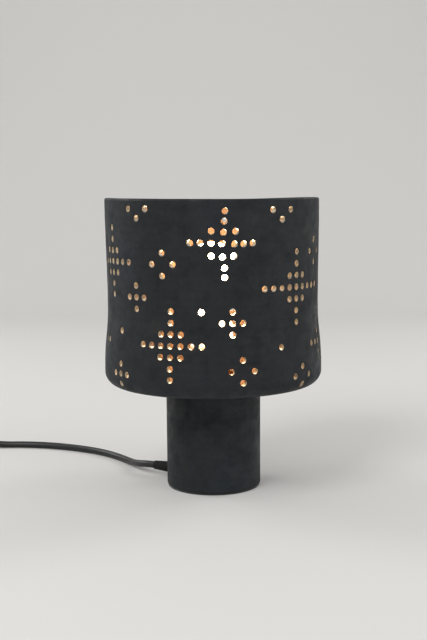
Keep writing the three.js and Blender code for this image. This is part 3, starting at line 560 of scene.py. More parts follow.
def moulded_finish(name, tone, low, high, grain=2100, gloss=0.45):
    """Moulded plastic or rubber: a fine grain, faint flow marks and a little dust"""
    paint = Paint(name, 0.45, Specular_IOR_Level=gloss)
    paint.give(Base_Color=paint.mixed(
        paint.noise(55, 4, 0.55), 0.35, 0.7, tone, scaled(tone, 1.35, 0.003)))
    paint.rough(paint.noise(230, 4, 0.6), low, high)
    paint.bump(paint.noise(grain, 2, 0.5), 0.35, 0.00006)
    paint.bump(paint.noise(120, 2), 0.12, 0.0001)
    return paint


def lit_plastic_finish(colours):
    """The lampholder's thin sleeve, with a painted glow: emission, brighter towards the top, stands in for
    the bulb's light shining into it from above
    """
    paint = moulded_finish("lit_plastic", colours.lampholder, 0.3, 0.45)
    low, high, _ = span("holder_skirt")
    tall, full = high - low, colours.brightness
    # painted glow: emission that rises with height stands in for the bulb's light through the plastic
    lit = paint.between(paint.height(), low + 0.32 * tall, low + 0.64 * tall, 0.004 * full, 0.12 * full)
    paint.give(Emission_Color=colours.glow, Emission_Strength=lit)
    return paint


def opal_finish(colours):
    """Opal glass that glows evenly, and less near its neck"""
    paint = Paint(
        "opal_glass", 0.22, Specular_IOR_Level=0.5, Coat_Weight=0.4, Coat_Roughness=0.1,
        Base_Color=(0.86, 0.83, 0.76), Emission_Color=colours.glow)
    neck = span("bulb_glass")[0]
    lit = paint.between(paint.height(), neck + 0.016, neck + 0.045, 0.45, 1.0)
    mottled = paint.between(paint.noise(60, 3), 0.3, 0.7, 0.94, 1.04)
    paint.give(Emission_Strength=paint.times(paint.times(lit, mottled), colours.brightness))
    paint.bump(paint.noise(900, 2), 0.08, 0.00005)
    return paint


def glass_finish(name, tint, clearness, roughness):
    """Pressed glass, clear or nearly black, with faint streaks"""
    paint = Paint(name, roughness, Transmission_Weight=clearness, IOR=1.5)
    streaks = paint.noise(180, 3, 0.6, where=paint.stretched(5))
    paint.give(Base_Color=paint.mixed(streaks, 0.35, 0.7, tint, scaled(tint, 0.82)))
    paint.rough(streaks, roughness * 0.7, roughness * 1.4)
    paint.bump(streaks, 0.15, 0.0001)
    return paint


def make_finishes(colours):
    """The finishes by the record's slots, with the clay inside, the holes and the lit lampholder"""
    paints = {
        "stoneware": stoneware_finish(colours),
        "clay": clay_finish(colours),
        "bore": bore_finish(colours),
        "felt": felt_finish(colours),
        "cork": cork_finish(),
        "steel": metal_finish("zinc_steel", (0.52, 0.53, 0.54), (0.36, 0.365, 0.37), 0.28, 0.48),
        "brass": metal_finish("brass", (0.72, 0.5, 0.16), (0.5, 0.31, 0.09), 0.22, 0.42),
        "bronze": metal_finish("spring_bronze", (0.66, 0.36, 0.17), (0.45, 0.22, 0.1), 0.25, 0.45),
        "bulb_metal": metal_finish("nickel", (0.68, 0.67, 0.65), (0.5, 0.49, 0.47), 0.16, 0.34),
        "tungsten": metal_finish("tungsten", (0.22, 0.22, 0.225), (0.12, 0.12, 0.125), 0.3, 0.5),
        "black_plastic": moulded_finish("black_plastic", colours.plastic, 0.36, 0.52),
        "white_plastic": moulded_finish("white_plastic", colours.lampholder, 0.3, 0.45),
        "lit_plastic": lit_plastic_finish(colours),
        "black_sheath": moulded_finish("cord_sheath", colours.sheath, 0.34, 0.48, 1300, 0.5),
        "black_rubber": moulded_finish("black_rubber", (0.0095, 0.0095, 0.0098), 0.6, 0.78, 1600, 0.3),
        "blue_wire": moulded_finish("blue_insulation", (0.02, 0.11, 0.42), 0.32, 0.45),
        "brown_wire": moulded_finish("brown_insulation", (0.11, 0.034, 0.012), 0.32, 0.45),
        "opal_glass": opal_finish(colours),
        "clear_glass": glass_finish("clear_glass", (0.93, 0.96, 0.95), 1.0, 0.06),
        "dark_glass": glass_finish("dark_glass", (0.02, 0.02, 0.026), 0.0, 0.14),
    }
    return {name: paint.material for name, paint in paints.items()}


# Cords. Their routes are listed points, in metres.
def above_line(reach, height=CORD_HOLE_HEIGHT):
    """A point above the straight line that the cord leaves the foot along"""
    return tuple(CORD_OUT * reach + Vector((0, 0, height)))


LYING = 0.00345
TO_SWITCH = [
    above_line(RELIEF_TIP - 0.004), above_line(RELIEF_TIP + 0.0003),
    (-0.0653, 0.0379, 0.0092), (-0.0719, 0.0439, 0.0081), (-0.0776, 0.0534, 0.0062),
    (-0.083, 0.0652, 0.0045), (-0.0902, 0.0782, 0.0036), (-0.0995, 0.0914, LYING),
    (-0.1105, 0.104, LYING), (-0.124, 0.116, LYING), (-0.139, 0.126, LYING),
    (-0.155, 0.1346, LYING), (-0.172, 0.1416, LYING), (-0.19, 0.1466, LYING),
    (-0.209, 0.1494, LYING), (-0.226, 0.15, LYING), (-0.24, 0.15, 0.0046),
    (-0.253, 0.15, 0.0069), (SWITCH_PLACE.x + SWITCH_CORD_END, SWITCH_PLACE.y, SWITCH_SPLIT),
]
TO_COIL = [
    (SWITCH_PLACE.x - SWITCH_CORD_END, SWITCH_PLACE.y, SWITCH_SPLIT),
    (-0.33, 0.15, 0.00745), (-0.338, 0.1489, 0.0061), (-0.346, 0.1457, 0.0045),
    (-0.3539, 0.1399, 0.0036), (-0.3596, 0.1322, LYING), (-0.3635, 0.1226, LYING),
    (-0.3656, 0.111, LYING), (-0.366, 0.099, LYING), (-0.366, 0.0871, LYING),
]
FROM_COIL = [
    (-0.3541, 0.0357, 0.0087), (-0.3503, 0.024, 0.0063), (-0.3456, 0.0127, 0.0044),
    (-0.3384, 0.0033, 0.0035), (-0.3291, -0.0036, LYING), (-0.3186, -0.0076, 0.0038),
    (-0.3085, -0.0086, 0.0054), (-0.297, -0.0086, 0.0068), (-0.287, -0.0086, 0.00685),
]
COIL_CENTRE = Vector((-0.317, 0.08, 0))
COIL_RADIUS = 0.049
COIL_TURNS = 5.05
COIL_START = 180
TIE_ANGLE = 250
TIE_LIFT = 0.0017
TIE_SPREAD = 36


def turn_radius(turn, pitch):
    """Radius of the coil after so many turns: least halfway, where the spiral reverses in a soft bend"""
    away = abs(turn - COIL_TURNS / 2)
    eased = 2 * away ** 2 + 0.125 if away < 0.25 else away
    return COIL_RADIUS - pitch * (COIL_TURNS / 2 - eased)


def turn_point(turn, pitch):
    """A point of the coil, which climbs a layer while the spiral reverses, and rises over the strap"""
    degrees = COIL_START + turn * 360
    share = min(1.0, max(0.0, (turn - COIL_TURNS / 2) / 0.5 + 0.5))
    climb = share * share * (3 - 2 * share)
    from_tie = abs((degrees - TIE_ANGLE + 540) % 360 - 180)
    lift = TIE_LIFT * math.cos(math.pi / 2 * from_tie / TIE_SPREAD) ** 2 if from_tie < TIE_SPREAD else 0
    radius, angle = turn_radius(turn, pitch), math.radians(degrees)
    return (
        COIL_CENTRE.x + radius * math.cos(angle),
        COIL_CENTRE.y + radius * math.sin(angle),
        LYING + climb * pitch + lift,
    )


def coil_route(pitch):
    """The coil's points, and two more straight on from its end"""
    count = round(COIL_TURNS * 24)
    turns = [turn_point(COIL_TURNS * i / count, pitch) for i in range(count + 1)]
    end = math.radians(COIL_START + COIL_TURNS * 360)
    out = Vector((-math.sin(end), math.cos(end), 0))
    return turns + [tuple(Vector(turns[-1]) + out * reach) for reach in (0.0071, 0.0178)]


def cord_curve(name, points, diameter, *nodes, resolution=8):
    line = bpy.data.curves.new(name, "CURVE")
    line.dimensions = "3D"
    line.resolution_u = resolution
    line.bevel_depth = diameter / 2
    line.bevel_resolution = 5
    line.use_fill_caps = True
    spline = line.splines.new("BEZIER")
    spline.bezier_points.add(len(points) - 1)
    for knot, point in zip(spline.bezier_points, points):
        knot.co = point
        knot.handle_left_type = knot.handle_right_type = "AUTO"
    line.materials.append(FINISHES["black_sheath"])
    piece = linked(name, line)
    place(piece, "lamp", "black_sheath", *nodes)
    return piece


class LAMP_OT_cords(bpy.types.Operator):
    """Lay the free cord from the foot through the switch and the coil to the plug"""
    bl_idname = "lamp.cords"
    bl_label = "Cords"

    def execute(self, context):
        sizes = context.scene.lamp_sizes
        lead = cord_curve("cord_lead", TO_SWITCH, sizes.cord, "cord_to_switch")
        route = TO_COIL[:-1] + coil_route(sizes.turn_pitch) + FROM_COIL
        rest = cord_curve(
            "cord_rest", route, sizes.cord, "cord_to_coil", "cord_coil", "cord_to_plug", resolution=6)
        return {"FINISHED"}


class LAMP_OT_camera(bpy.types.Operator):
    """Set the camera at the photograph's viewing angle"""
    bl_idname = "lamp.camera"
    bl_label = "Camera"

    def execute(self, context):
        spot, downwards, roll = (0, -0.9765, 0.2697), 6.63, -0.45
        lens = bpy.data.cameras.new("camera")
        lens.sensor_fit = "VERTICAL"
        lens.sensor_height = 36
        lens.lens = context.scene.lamp_stage.lens * 1000
        lens.shift_x = 0.0013
        camera = linked("camera", lens)
        camera.matrix_world = shift(*spot) @ rotation(90 - downwards, "X") @ rotation(roll, "Z")
        context.scene.camera = camera
        return {"FINISHED"}


class LAMP_OT_stage(bpy.types.Operator):
    """Set up the pale floor and the soft lamps"""
    bl_idname = "lamp.stage"
    bl_label = "Stage"

    def execute(self, context):
        stage = context.scene.lamp_stage
        reach, wall, top, bend = 9, 2.1, 3.2, 0.7
        bm = bmesh.new()
        side = [(-reach, 0), *arc(wall - bend, bend, bend, -90, 0, 16), (wall, top)]
        points = [bm.verts.new((-reach, y, z)) for y, z in side]
        for pair in zip(points, points[1:]):
            bm.edges.new(pair)
        extrude(bm, (reach * 2, 0, 0))
        for face in bm.faces:
            if face.normal.z < face.normal.y:
                face.normal_flip()
        floor = as_object(bm, "floor")
        paint = Paint("floor", 0.8, Specular_IOR_Level=0.2, Base_Color=stage.floor)
        floor.data.materials.append(paint.material)

        world = bpy.data.worlds.new("surround")
        world.use_nodes = True
        background = world.node_tree.nodes["Background"].inputs
        background["Color"].default_value = (1, 1, 1, 1)
        background["Strength"].default_value = stage.surround
        context.scene.world = world
        lamps = [
            ("key", (-1.1, -1.5, 1.7), 1.3, 1.0),
            ("fill", (1.6, -1.2, 1.0), 1.6, 0.35),
            ("edge_left", (-1.5, 0.7, 1.1), 0.9, 0.4),
            ("edge_right", (1.5, 0.8, 1.2), 0.9, 0.4),
        ]
        middle = Vector((0, 0, 0.14))
        for name, spot, size, share in lamps:
            light = bpy.data.lights.new(name, "AREA")
            light.shape, light.size, light.energy = "DISK", size, stage.key * share
            linked(name, light).matrix_world = aimed(spot, middle - Vector(spot), "-Z")
        context.scene.view_settings.view_transform = "Standard"
        return {"FINISHED"}


# Ceramic body
def drum_radius(sizes, height):
    """Radius of the drum's outside at a height above its underside"""
    if height < sizes.corner:
        drop = sizes.corner - height
        return sizes.bulge / 2 - sizes.corner + math.sqrt(max(0.0, sizes.corner ** 2 - drop ** 2))
    if height < sizes.bulge_height:
        return sizes.bulge / 2
    if height < sizes.waist_height:
        low, high, start, end = sizes.bulge_height, sizes.waist_height, sizes.bulge, sizes.waist
    else:
        low, high, start, end = sizes.waist_height, DRUM_TALL, sizes.waist, sizes.rim
    share = min(1.0, (height - low) / (high - low))
    return (start + (end - start) * (1 - math.cos(math.pi * share)) / 2) / 2


def stray(sizes, out, height):
    """How far the hand-made wall strays outwards in a direction, at a height"""
    broad = noise.noise(Vector((out.x * 1.4, out.y * 1.4, height * 9 + 3)))
    ridges = noise.noise(Vector((out.x * 0.4, out.y * 0.4, height * 90)))
    return sizes.unevenness * (broad + 0.22 * ridges)


def drum_outline(sizes):
    lip = 0.0017
    outer, corner, inner_corner = sizes.bulge / 2, sizes.corner, sizes.inner_corner
    rim = drum_radius(sizes, DRUM_TALL)
    floor_top = DRUM_LOW + sizes.floor
    rise = DRUM_TALL - lip * 1.2 - sizes.bulge_height
    heights = [sizes.bulge_height + rise * i / 34 for i in range(35)]
    side = [(drum_radius(sizes, h), DRUM_LOW + h) for h in heights]
    return [
        *((r, DRUM_LOW) for r in (PIPE_HOLE, 0.02, 0.0435, 0.046, 0.065)),
        *arc(outer - corner, DRUM_LOW + corner, corner, -90, 0, 10),
        *side,
        *arc(rim - lip, DRUM_HIGH - lip, lip, 0, 90, 4),
        *arc(rim - sizes.wall + lip, DRUM_HIGH - lip, lip, 90, 180, 4),
        *((r - sizes.wall, z) for r, z in reversed(side)),
        *arc(outer - sizes.wall - inner_corner, floor_top + inner_corner, inner_corner, 0, -90, 6),
        *((r, floor_top) for r in (0.065, 0.04, 0.02, PIPE_HOLE)),
    ]


def throw_unevenly(bm, sizes):
    """Lets the wall stray from round and the rim from level, as hand-thrown clay does"""
    even, eased, rim_depth = 0.05, 0.035, 0.06
    for v in bm.verts:
        radius, out = from_axis(v.co)
        if radius < FLAT_MIDDLE:
            continue
        share = min(1.0, max(0.0, (radius - even) / eased))
        near_rim = max(0.0, 1 - (DRUM_HIGH - v.co.z) / rim_depth)
        small = noise.noise(Vector((out.x * 1.7 + 5, out.y * 1.7, 0.4))) * 0.7
        wave = sizes.rim_wave * (0.4 + out.x ** 2 - 0.14 * out.x)
        v.co += out * stray(sizes, out, v.co.z) * share
        v.co.z += (wave + sizes.unevenness * small) * near_rim * share


def hole_cutter(sizes):
    """A round cutter that flares at the surface, Z = 0, as a hole's soft mouth does"""
    radius, mouth, deep = sizes.hole / 2, sizes.mouth, sizes.wall * 1.7
    flare = [(radius + mouth - x, z - mouth) for x, z in arc(0, 0, mouth, 0, 90, 3)]
    bm = spun([(0, -deep), (radius * 0.93, -deep), *flare, (radius + mouth * 1.4, mouth), (0, mouth)], 20)
    for face in bm.faces:
        face.material_index = 0 if face.calc_center_median().z > -mouth * 0.8 else 2
    return as_mesh(bm, "hole_cutter")


def hole_places(sizes):
    """Each hole's angle to the right of the front, and its height above the drum's underside"""
    lowest, margin = 0.005, 0.0018
    for holes, middles in MOTIFS:
        for angle, middle, *own_rise in middles:
            rise = own_rise[0] if own_rise else sizes.stitch_rise
            for across, up in holes:
                height = middle + up * rise
                if height >= lowest and height + sizes.hole / 2 + margin <= DRUM_TALL:
                    yield math.radians(angle) + across * sizes.stitch_angle, height


def pierce(sizes, drum):
    """Cuts every hole at right angles to the wall, each a little larger or smaller than the next"""
    pattern = hole_cutter(sizes)
    cutters = bmesh.new()
    for turn, height in hole_places(sizes):
        out = Vector((math.sin(turn), -math.cos(turn), 0))
        slope = (drum_radius(sizes, height + 1e-4) - drum_radius(sizes, height - 1e-4)) / 2e-4
        normal = (out - Vector((0, 0, slope))).normalized()
        spot = out * (drum_radius(sizes, height) + stray(sizes, out, DRUM_LOW + height))
        spot.z = DRUM_LOW + height
        uneven = 1 + 0.05 * noise.noise(spot * 900)
        at = aimed(spot, normal, "Z")
        before = len(cutters.verts)
        cutters.from_mesh(pattern)
        cutters.verts.ensure_lookup_table()
        bmesh.ops.transform(
            cutters, matrix=at @ Matrix.Diagonal((uneven, uneven, 1, 1)), verts=cutters.verts[before:])
    bpy.data.meshes.remove(pattern)
    carve(drum, cutters, 38)


class LAMP_OT_drum(bpy.types.Operator):
    """Make the pierced drum"""
    bl_idname = "lamp.drum"
    bl_label = "Drum"

    def execute(self, context):
        sizes = context.scene.lamp_sizes
        bm = spun(drum_outline(sizes), sizes.around)
        floor_top = DRUM_LOW + sizes.floor
        for face in bm.faces:
            centre = face.calc_center_median()
            skin = drum_radius(sizes, centre.z - DRUM_LOW) - sizes.wall * 0.7
            lined = from_axis(centre)[0] < skin and floor_top - NEAR < centre.z < DRUM_HIGH - NEAR
            face.material_index = int(lined)
        throw_unevenly(bm, sizes)
        drum = as_object(bm, "pierced_drum", "stoneware", "clay", "bore")
        pierce(sizes, drum)
        place(drum, "lamp", "stoneware", "shade_drum")
        return {"FINISHED"}


class LAMP_OT_foot(bpy.types.Operator):
    """Make the hollow foot and the felt under it"""
    bl_idname = "lamp.foot"
    bl_label = "Foot"

    def execute(self, context):
        sizes = context.scene.lamp_sizes
        low, high, outer = span("foot")
        inner, roof = outer - sizes.wall, high - 0.007
        lower, lower_inner, upper, corner = 0.0016, 0.0012, 0.001, 0.003
        tall, levels = high - low - lower - upper, 18
        bm = spun([
            *arc(inner + lower_inner, low + lower_inner, lower_inner, 180, 270, 3),
            *arc(outer - lower, low + lower, lower, -90, 0, 4),
            *((outer, low + lower + tall * i / levels) for i in range(1, levels)),
            *arc(outer - upper, high - upper, upper, 0, 90, 3),
            (PIPE_HOLE, high), (PIPE_HOLE, roof),
            *arc(inner - corner, roof - corner, corner, 90, 0, 4), (inner, (roof + low) / 2),
        ], sizes.around // 2)
        for face in bm.faces:
            centre = face.calc_center_median()
            face.material_index = int(from_axis(centre)[0] < inner + NEAR and centre.z < roof + NEAR)
        for v in bm.verts:
            radius, out = from_axis(v.co)
            if radius > FLAT_MIDDLE:
                v.co += out * stray(sizes, out, v.co.z) * 0.5
        foot = as_object(bm, "round_foot", "stoneware", "clay")
        drill(foot, 0.0046 + FIT, inner - 0.01, outer + 0.01, 32, ALONG_CORD)
        place(foot, "lamp", "stoneware", "foot")

        low, high, outer = span("felt_ring")
        turned("felt_pad", ring(inner + 0.0008, outer, low, high), 128, "lamp", "felt", "felt_ring")
        return {"FINISHED"}


class LAMP_OT_clamp(bpy.types.Operator):
    """Make the threaded pipe, the washers and the nut that hold the two ceramic pieces together"""
    bl_idname = "lamp.clamp"
    bl_label = "Clamp"

    def execute(self, context):
        low, high, _ = span("lamp_pipe")
        bore, root, plain = 0.004, 0.0046, 0.001
        turns = round((high - low - plain) / 0.001)
        pitch = (high - low - plain) / turns
        outline = [(bore, low)]
        for i in range(turns):
            z = low + plain / 2 + pitch * i
            outline += [(root, z), (PIPE_CREST, z + pitch * 0.4), (PIPE_CREST, z + pitch * 0.6)]
        outline += [(root, high), (bore, high)]
        turned("threaded_pipe", outline, 48, "lamp", "steel", "lamp_pipe", edge=0)

        for kind, edge in (("cork", 0.0004), ("steel", 0.0003)):
            for side in ("lower", "upper"):
                node = f"{side}_{kind}_washer"
                low, high, radius = span(node)
                outline = ring(PIPE_CREST + FIT, radius, low, high)
                turned(f"{side}_{kind}", outline, 72, "lamp", kind, node, edge=edge)

        low, high, radius = span("lower_nut")
        bm = bmesh.new()
        rod(bm, radius, low, high, 6, rotation(90, "Z"))
        soften(bm, 0.0006, 3)
        nut = as_object(bm, "hexagon_nut", "steel")
        drill(nut, PIPE_CREST + FIT, low - 0.001, high + 0.001, 48, Matrix())
        place(nut, "lamp", "steel", "lower_nut")
        return {"FINISHED"}


class LAMP_OT_lampholder(bpy.types.Operator):
    """Make the lampholder"""
    bl_idname = "lamp.lampholder"
    bl_label = "Lampholder"

    def execute(self, context):
        base, top, _ = span("holder_cap")
        hole, neck, dome, collar = 0.0053, 0.01, 0.0207, 0.0185
        dome_top, shoulder, floor = base + 0.0095, base + 0.0107, base + 0.0063
        inner = collar - 0.0022
        slopes = [math.radians(a) for a in range(12, 90, 13)]
        curve = [(neck + (dome - neck) * math.sin(a), dome_top - 0.0066 * math.cos(a)) for a in slopes]
        cap = [
            (hole, base), (neck, base), (neck, base + 0.002), *curve, (dome, dome_top),
            (dome, shoulder), (collar, shoulder), (collar, top), (inner, top),
            (inner, dome_top + 0.001), ((neck + inner) / 2, floor), (hole, floor),
        ]
        turned("cap_of_holder", cap, 96, "lamp", "white_plastic", "holder_cap", edge=0.0004)

        low, high, _ = span("holder_skirt")
        insert_top = span("holder_insert")[1]
        seat = insert_top + FIT
        bore, rim = collar + FIT, 0.0182
        outer, flute, flutes = bore + 0.0022, 0.0005, 36
        bm = spun([
            (bore, low), (outer, low), (outer, seat + 0.0018), (bore + 0.0017, seat + 0.0026),
            (rim + 0.0011, seat + 0.0044), (rim + 0.0004, high - 0.008), (rim, high - 0.002), (rim, high),
            (rim - 0.0026, high), (rim - 0.0026, seat), (bore, seat),
        ], 144)
        soften(bm, 0.0004, 2, 30)
        for v in bm.verts:
            radius, out = from_axis(v.co)
            if radius > bore + 0.002 and low + 0.003 < v.co.z < seat + 0.001:
                v.co -= out * flute * (0.5 - 0.5 * math.cos(math.atan2(v.co.y, v.co.x) * flutes))
        # the skirt's lit_plastic finish paints a glow with emission, standing in for the bulb's light through
        # the plastic
        place(as_object(bm, "skirt_of_holder", "lit_plastic"), "lamp", "white_plastic", "holder_skirt")

        low, high, _ = span("screw_shell")
        hole, shell, wall = 0.0105, 0.01345, 0.0005
        outer, floor = shell + wall, insert_top + wall
        bm = spun([
            (hole, insert_top), (outer, insert_top), (outer, high - 0.0006), (outer + 0.0005, high - 0.0004),
            (outer + 0.0004, high - 0.0001), (shell, high), (shell, floor), (hole, floor),
        ], 72)
        block(bm, (0.0055, 0.0024, wall), (0.0098, 0, insert_top + wall / 2))
        rod(bm, 0.0012, low, floor, 16, shift(0.0085, 0, 0))
        place(as_object(bm, "shell_of_holder", "brass"), "lamp", "brass", "screw_shell")
        return {"FINISHED"}


class LAMP_OT_bulb(bpy.types.Operator):
    """Make the opal bulb and its screw cap"""
    bl_idname = "lamp.bulb"
    bl_label = "Bulb"

    def execute(self, context):
        low, high, _ = span("bulb_glass")
        cap_low, cap_high, _ = span("bulb_cap")
        radius, neck, throat, flare = 0.0275, 0.0142, 0.01165, 0.0138
        flare_start = cap_high - 0.00412

        def skin(inset):
            """The glass's outline so far inside its surface: a ball, a soft neck and a flare"""
            ball = arc(0, high - radius, radius - inset, 90, -40, 22)
            (x, z), reach, bend = ball[-1], radius / 3, math.radians(40)
            side, end = neck - inset, cap_high + 0.0012
            handle = Vector((x - reach * math.sin(bend), z - reach * math.cos(bend)))
            curve = interpolate_bezier(
                Vector((x, z)), handle, Vector((side, end + reach)), Vector((side, end)), 11)
            return [
                (0, high - inset), *ball[1:], *curve[1:], (flare - inset, cap_high),
                (throat - inset, flare_start), (throat - inset, low),
            ]

        glass = skin(0) + skin(0.0009)[::-1]
        turned("bulb_envelope", glass, 96, "bulb", "opal_glass", "bulb_glass", edge=0)

        root, thread, wall, pitch, steps = 0.01245, 0.0006, 0.0005, 0.0036, 6
        threads = []
        for i in range(4 * steps):
            turn = (i + 0.5) / steps
            threads.append((root + thread * (1 - math.cos(math.tau * turn)) / 2, cap_low + pitch * turn))
        inner, hole = root - wall, root - wall - 0.002
        outline = [
            (hole, cap_low), (root - 0.0006, cap_low), *threads, (root, flare_start), (0.0146, cap_high),
            (0.0141, cap_high), (inner, flare_start), (inner, cap_low + wall), (hole, cap_low + wall),
        ]
        turned("screw_cap", outline, 72, "bulb", "bulb_metal", "bulb_cap", edge=0)

        low, high, _ = span("bulb_insulator")
        outline = [(0, low), (0.0052, low), (0.0112, high - 0.001), (0.0114, high), (0, high)]
        turned("cap_insulator", outline, 64, "bulb", "dark_glass", "bulb_insulator")
        low, high, _ = span("bulb_contact")
        outline = [(0, low), (0.003, low), (0.0044, low + 0.0004), (0.0047, high), (0, high)]
        turned("cap_contact", outline, 48, "bulb", "bulb_metal", "bulb_contact")
        return {"FINISHED"}


class LAMP_OT_relief(bpy.types.Operator):
    """Make the cord's strain relief and the cord inside the foot"""
    bl_idname = "lamp.relief"
    bl_label = "Strain relief"

    def execute(self, context):
        sizes = context.scene.lamp_sizes
        bore, neck, flange, collar = 0.0036, 0.0046, 0.0064, 0.006
        tail, end, tip = 0.0054, 0.0043, RELIEF_TIP
        inside = math.sqrt((FOOT_SIDE - sizes.wall) ** 2 - flange ** 2) - FIT
        outside = FOOT_SIDE + FIT
        shoulder = outside + 0.002
        outline = [
            (bore, inside - 0.002), (flange, inside - 0.002), (flange, inside), (neck, inside),
            (neck, outside), (collar, outside), (collar, shoulder), (tail, shoulder),
            *ribs(7, shoulder + 0.0012, tip - 0.0008, tail, end, 0.0008, 0.58),
            (end, tip - 0.0006), (end, tip), (bore, tip),
        ]
        turned(
            "ribbed_relief", outline, 48, "lamp", "black_rubber", "cord_relief", edge=0.00018,
            where=ALONG_CORD)

        bend = 0.03
        pipe_low = span("lamp_pipe")[0]
        cord_top = span("cord_inner")[1]
        points = [
            above_line(tip - 0.0045), above_line(FOOT_SIDE),
            *(above_line(*spot) for spot in arc(bend, CORD_HOLE_HEIGHT + bend, bend, 270, 180, 8)),
            *((0, 0, z) for z in (0.06, pipe_low, (pipe_low + cord_top) / 2, cord_top)),
        ]
        cord_curve("cord_in_foot", points, sizes.cord, "cord_inner")
        return {"FINISHED"}


class LAMP_OT_tie(bpy.types.Operator):
    """Make the strap round the coil"""
    bl_idname = "lamp.tie"
    bl_label = "Cord tie"

    def execute(self, context):
        width, thick = 0.009, 0.001
        sizes = context.scene.lamp_sizes
        pitch, cord = sizes.turn_pitch, sizes.cord / 2 + FIT
        first = (TIE_ANGLE - COIL_START) / 360
        radii = [turn_radius(t + first, pitch) for t in range(6) if t + first <= COIL_TURNS]
        near, far = min(radii) - cord - thick, max(radii) + cord + thick
        high = LYING + pitch + TIE_LIFT + cord + thick
        length, middle = far - near, (near + far) / 2
        bm = bmesh.new()
        corners = [bm.verts.new((x, -width / 2, z)) for x, z in ring(near, far, 0, high)]
        for pair in zip(corners, corners[1:] + corners[:1]):
            bm.edges.new(pair)
        bevel(bm, corners, 0.0035, 6, "VERTICES")
        extrude(bm, (0, width, 0))
        face_outwards(bm)
        bmesh.ops.solidify(bm, geom=bm.faces[:], thickness=thick)
        block(bm, (length * 0.7, width * 0.96, 0.0009), (middle + length * 0.05, 0, high + 0.0005))
        face_outwards(bm)
        soften(bm, 0.00025)
        where = shift(*COIL_CENTRE) @ rotation(TIE_ANGLE, "Z")
        settle(as_object(bm, "coil_strap", "black_rubber"), where, "lamp", "black_rubber", "cord_tie")
        return {"FINISHED"}


class LAMP_OT_switch(bpy.types.Operator):
    """Make the inline switch"""
    bl_idname = "lamp.switch"
    bl_label = "Inline switch"

    length, width, height, corner, wall = 0.062, 0.028, 0.017, 0.009, 0.0022
    pivot, pin_hole = 0.0126, 0.0013

    def half(self, name, low, high, rim):
        """One half of the housing, its outer rim rounded and its joint eased"""
        bm = rounded_block(self.length, self.width, self.corner, low, high, 10)
        for level, width in ((rim, 0.0021), (SWITCH_SPLIT, 0.0003)):
            bevel(bm, [e for e in folds(bm) if all(abs(v.co.z - level) < 1e-6 for v in e.verts)], width, 4)
        return as_object(bm, name, "black_plastic")

    def hollow(self, piece, low, high):
        wall = self.wall
        carve(piece, rounded_block(
            self.length - wall * 2, self.width - wall * 2, self.corner - wall, low, high))

    def enter(self, piece):
        """Cuts the two entries of the cord"""
        drill(piece, 0.0037, -self.length, self.length, 32, shift(0, 0, SWITCH_SPLIT) @ ALONG_X)

    def execute(self, context):
        screws = [shift(0.02, -0.0086, 0), shift(-0.02, 0.0086, 0)]
        base = self.half("lower_housing", 0, SWITCH_SPLIT, 0)
        self.hollow(base, self.wall, self.height)
        self.enter(base)
        drill(base, 0.0014, -0.001, self.wall + 0.001, 24, *screws)
        drill(base, 0.0025, -0.001, self.wall * 0.75, 32, *screws)
        settle(base, AT_SWITCH, "lamp", "black_plastic", "switch_base")

        roof = self.height - self.wall
        cover = self.half("upper_housing", SWITCH_SPLIT, self.height, self.height)
        self.hollow(cover, 0, roof)
        carve(cover, rounded_block(0.0254, 0.0109, 0.0008, roof - 0.001, self.height + 0.005, 3))
        self.enter(cover)
        settle(cover, AT_SWITCH, "lamp", "black_plastic", "switch_cover")
        at_pivot = shift(0, 0, self.pivot)
        for i, side in enumerate((-1, 1), 1):
            bm = bmesh.new()
            block(bm, (0.0052, 0.0025, 0.0048), (0, side * 0.00685, roof - 0.0022))
            soften(bm, 0.0003)
            lug = as_object(bm, f"rocker_lug_{i}", "black_plastic")
            drill(lug, self.pin_hole, -0.01, 0.01, 24, at_pivot @ ALONG_Y)
            settle(lug, AT_SWITCH, "lamp", "black_plastic")

        half, heel = 0.0116, (0.0035, -0.0032)
        dish = [(half - half / 6 * i, 0.0039 + 0.0017 * (1 - i / 6) ** 2) for i in range(13)]
        end = (half - 0.0004, 0.0008)
        bm = slab([(-end[0], end[1]), (-heel[0], heel[1]), heel, end, *dish], 0.01)
        bmesh.ops.transform(bm, matrix=shift(0, 0.005, 0) @ rotation(90, "X"), verts=bm.verts)
        soften(bm, 0.0005, 3)
        face_outwards(bm)
        rocker = as_object(bm, "rocker_key", "black_plastic")
        drill(rocker, self.pin_hole, -0.01, 0.01, 24, ALONG_Y)
        tilted = AT_SWITCH @ at_pivot @ rotation(8, "Y")
        settle(rocker, tilted, "rocker", "black_plastic", "switch_rocker")

        head, shank, point = 0.0022, 0.0011, 0.0123
        outline = [
            (0, FIT), (0.0019, FIT), (head, 0.0006), (head, 0.00135), (shank, 0.0016), (shank, 0.0118),
            (0.0007, point), (0, point),
        ]
        for i, spot in enumerate(screws, 1):
            screw = as_object(spun(outline, 32), f"housing_screw_{i}", "steel")
            for size in ((0.003, 0.0005, 0.001), (0.0005, 0.003, 0.001)):
                groove = bmesh.new()
                block(groove, size, (0, 0, FIT))
                carve(screw, groove)
            settle(screw, AT_SWITCH @ spot, "lamp", "steel", f"switch_screw_{i}")
        return {"FINISHED"}


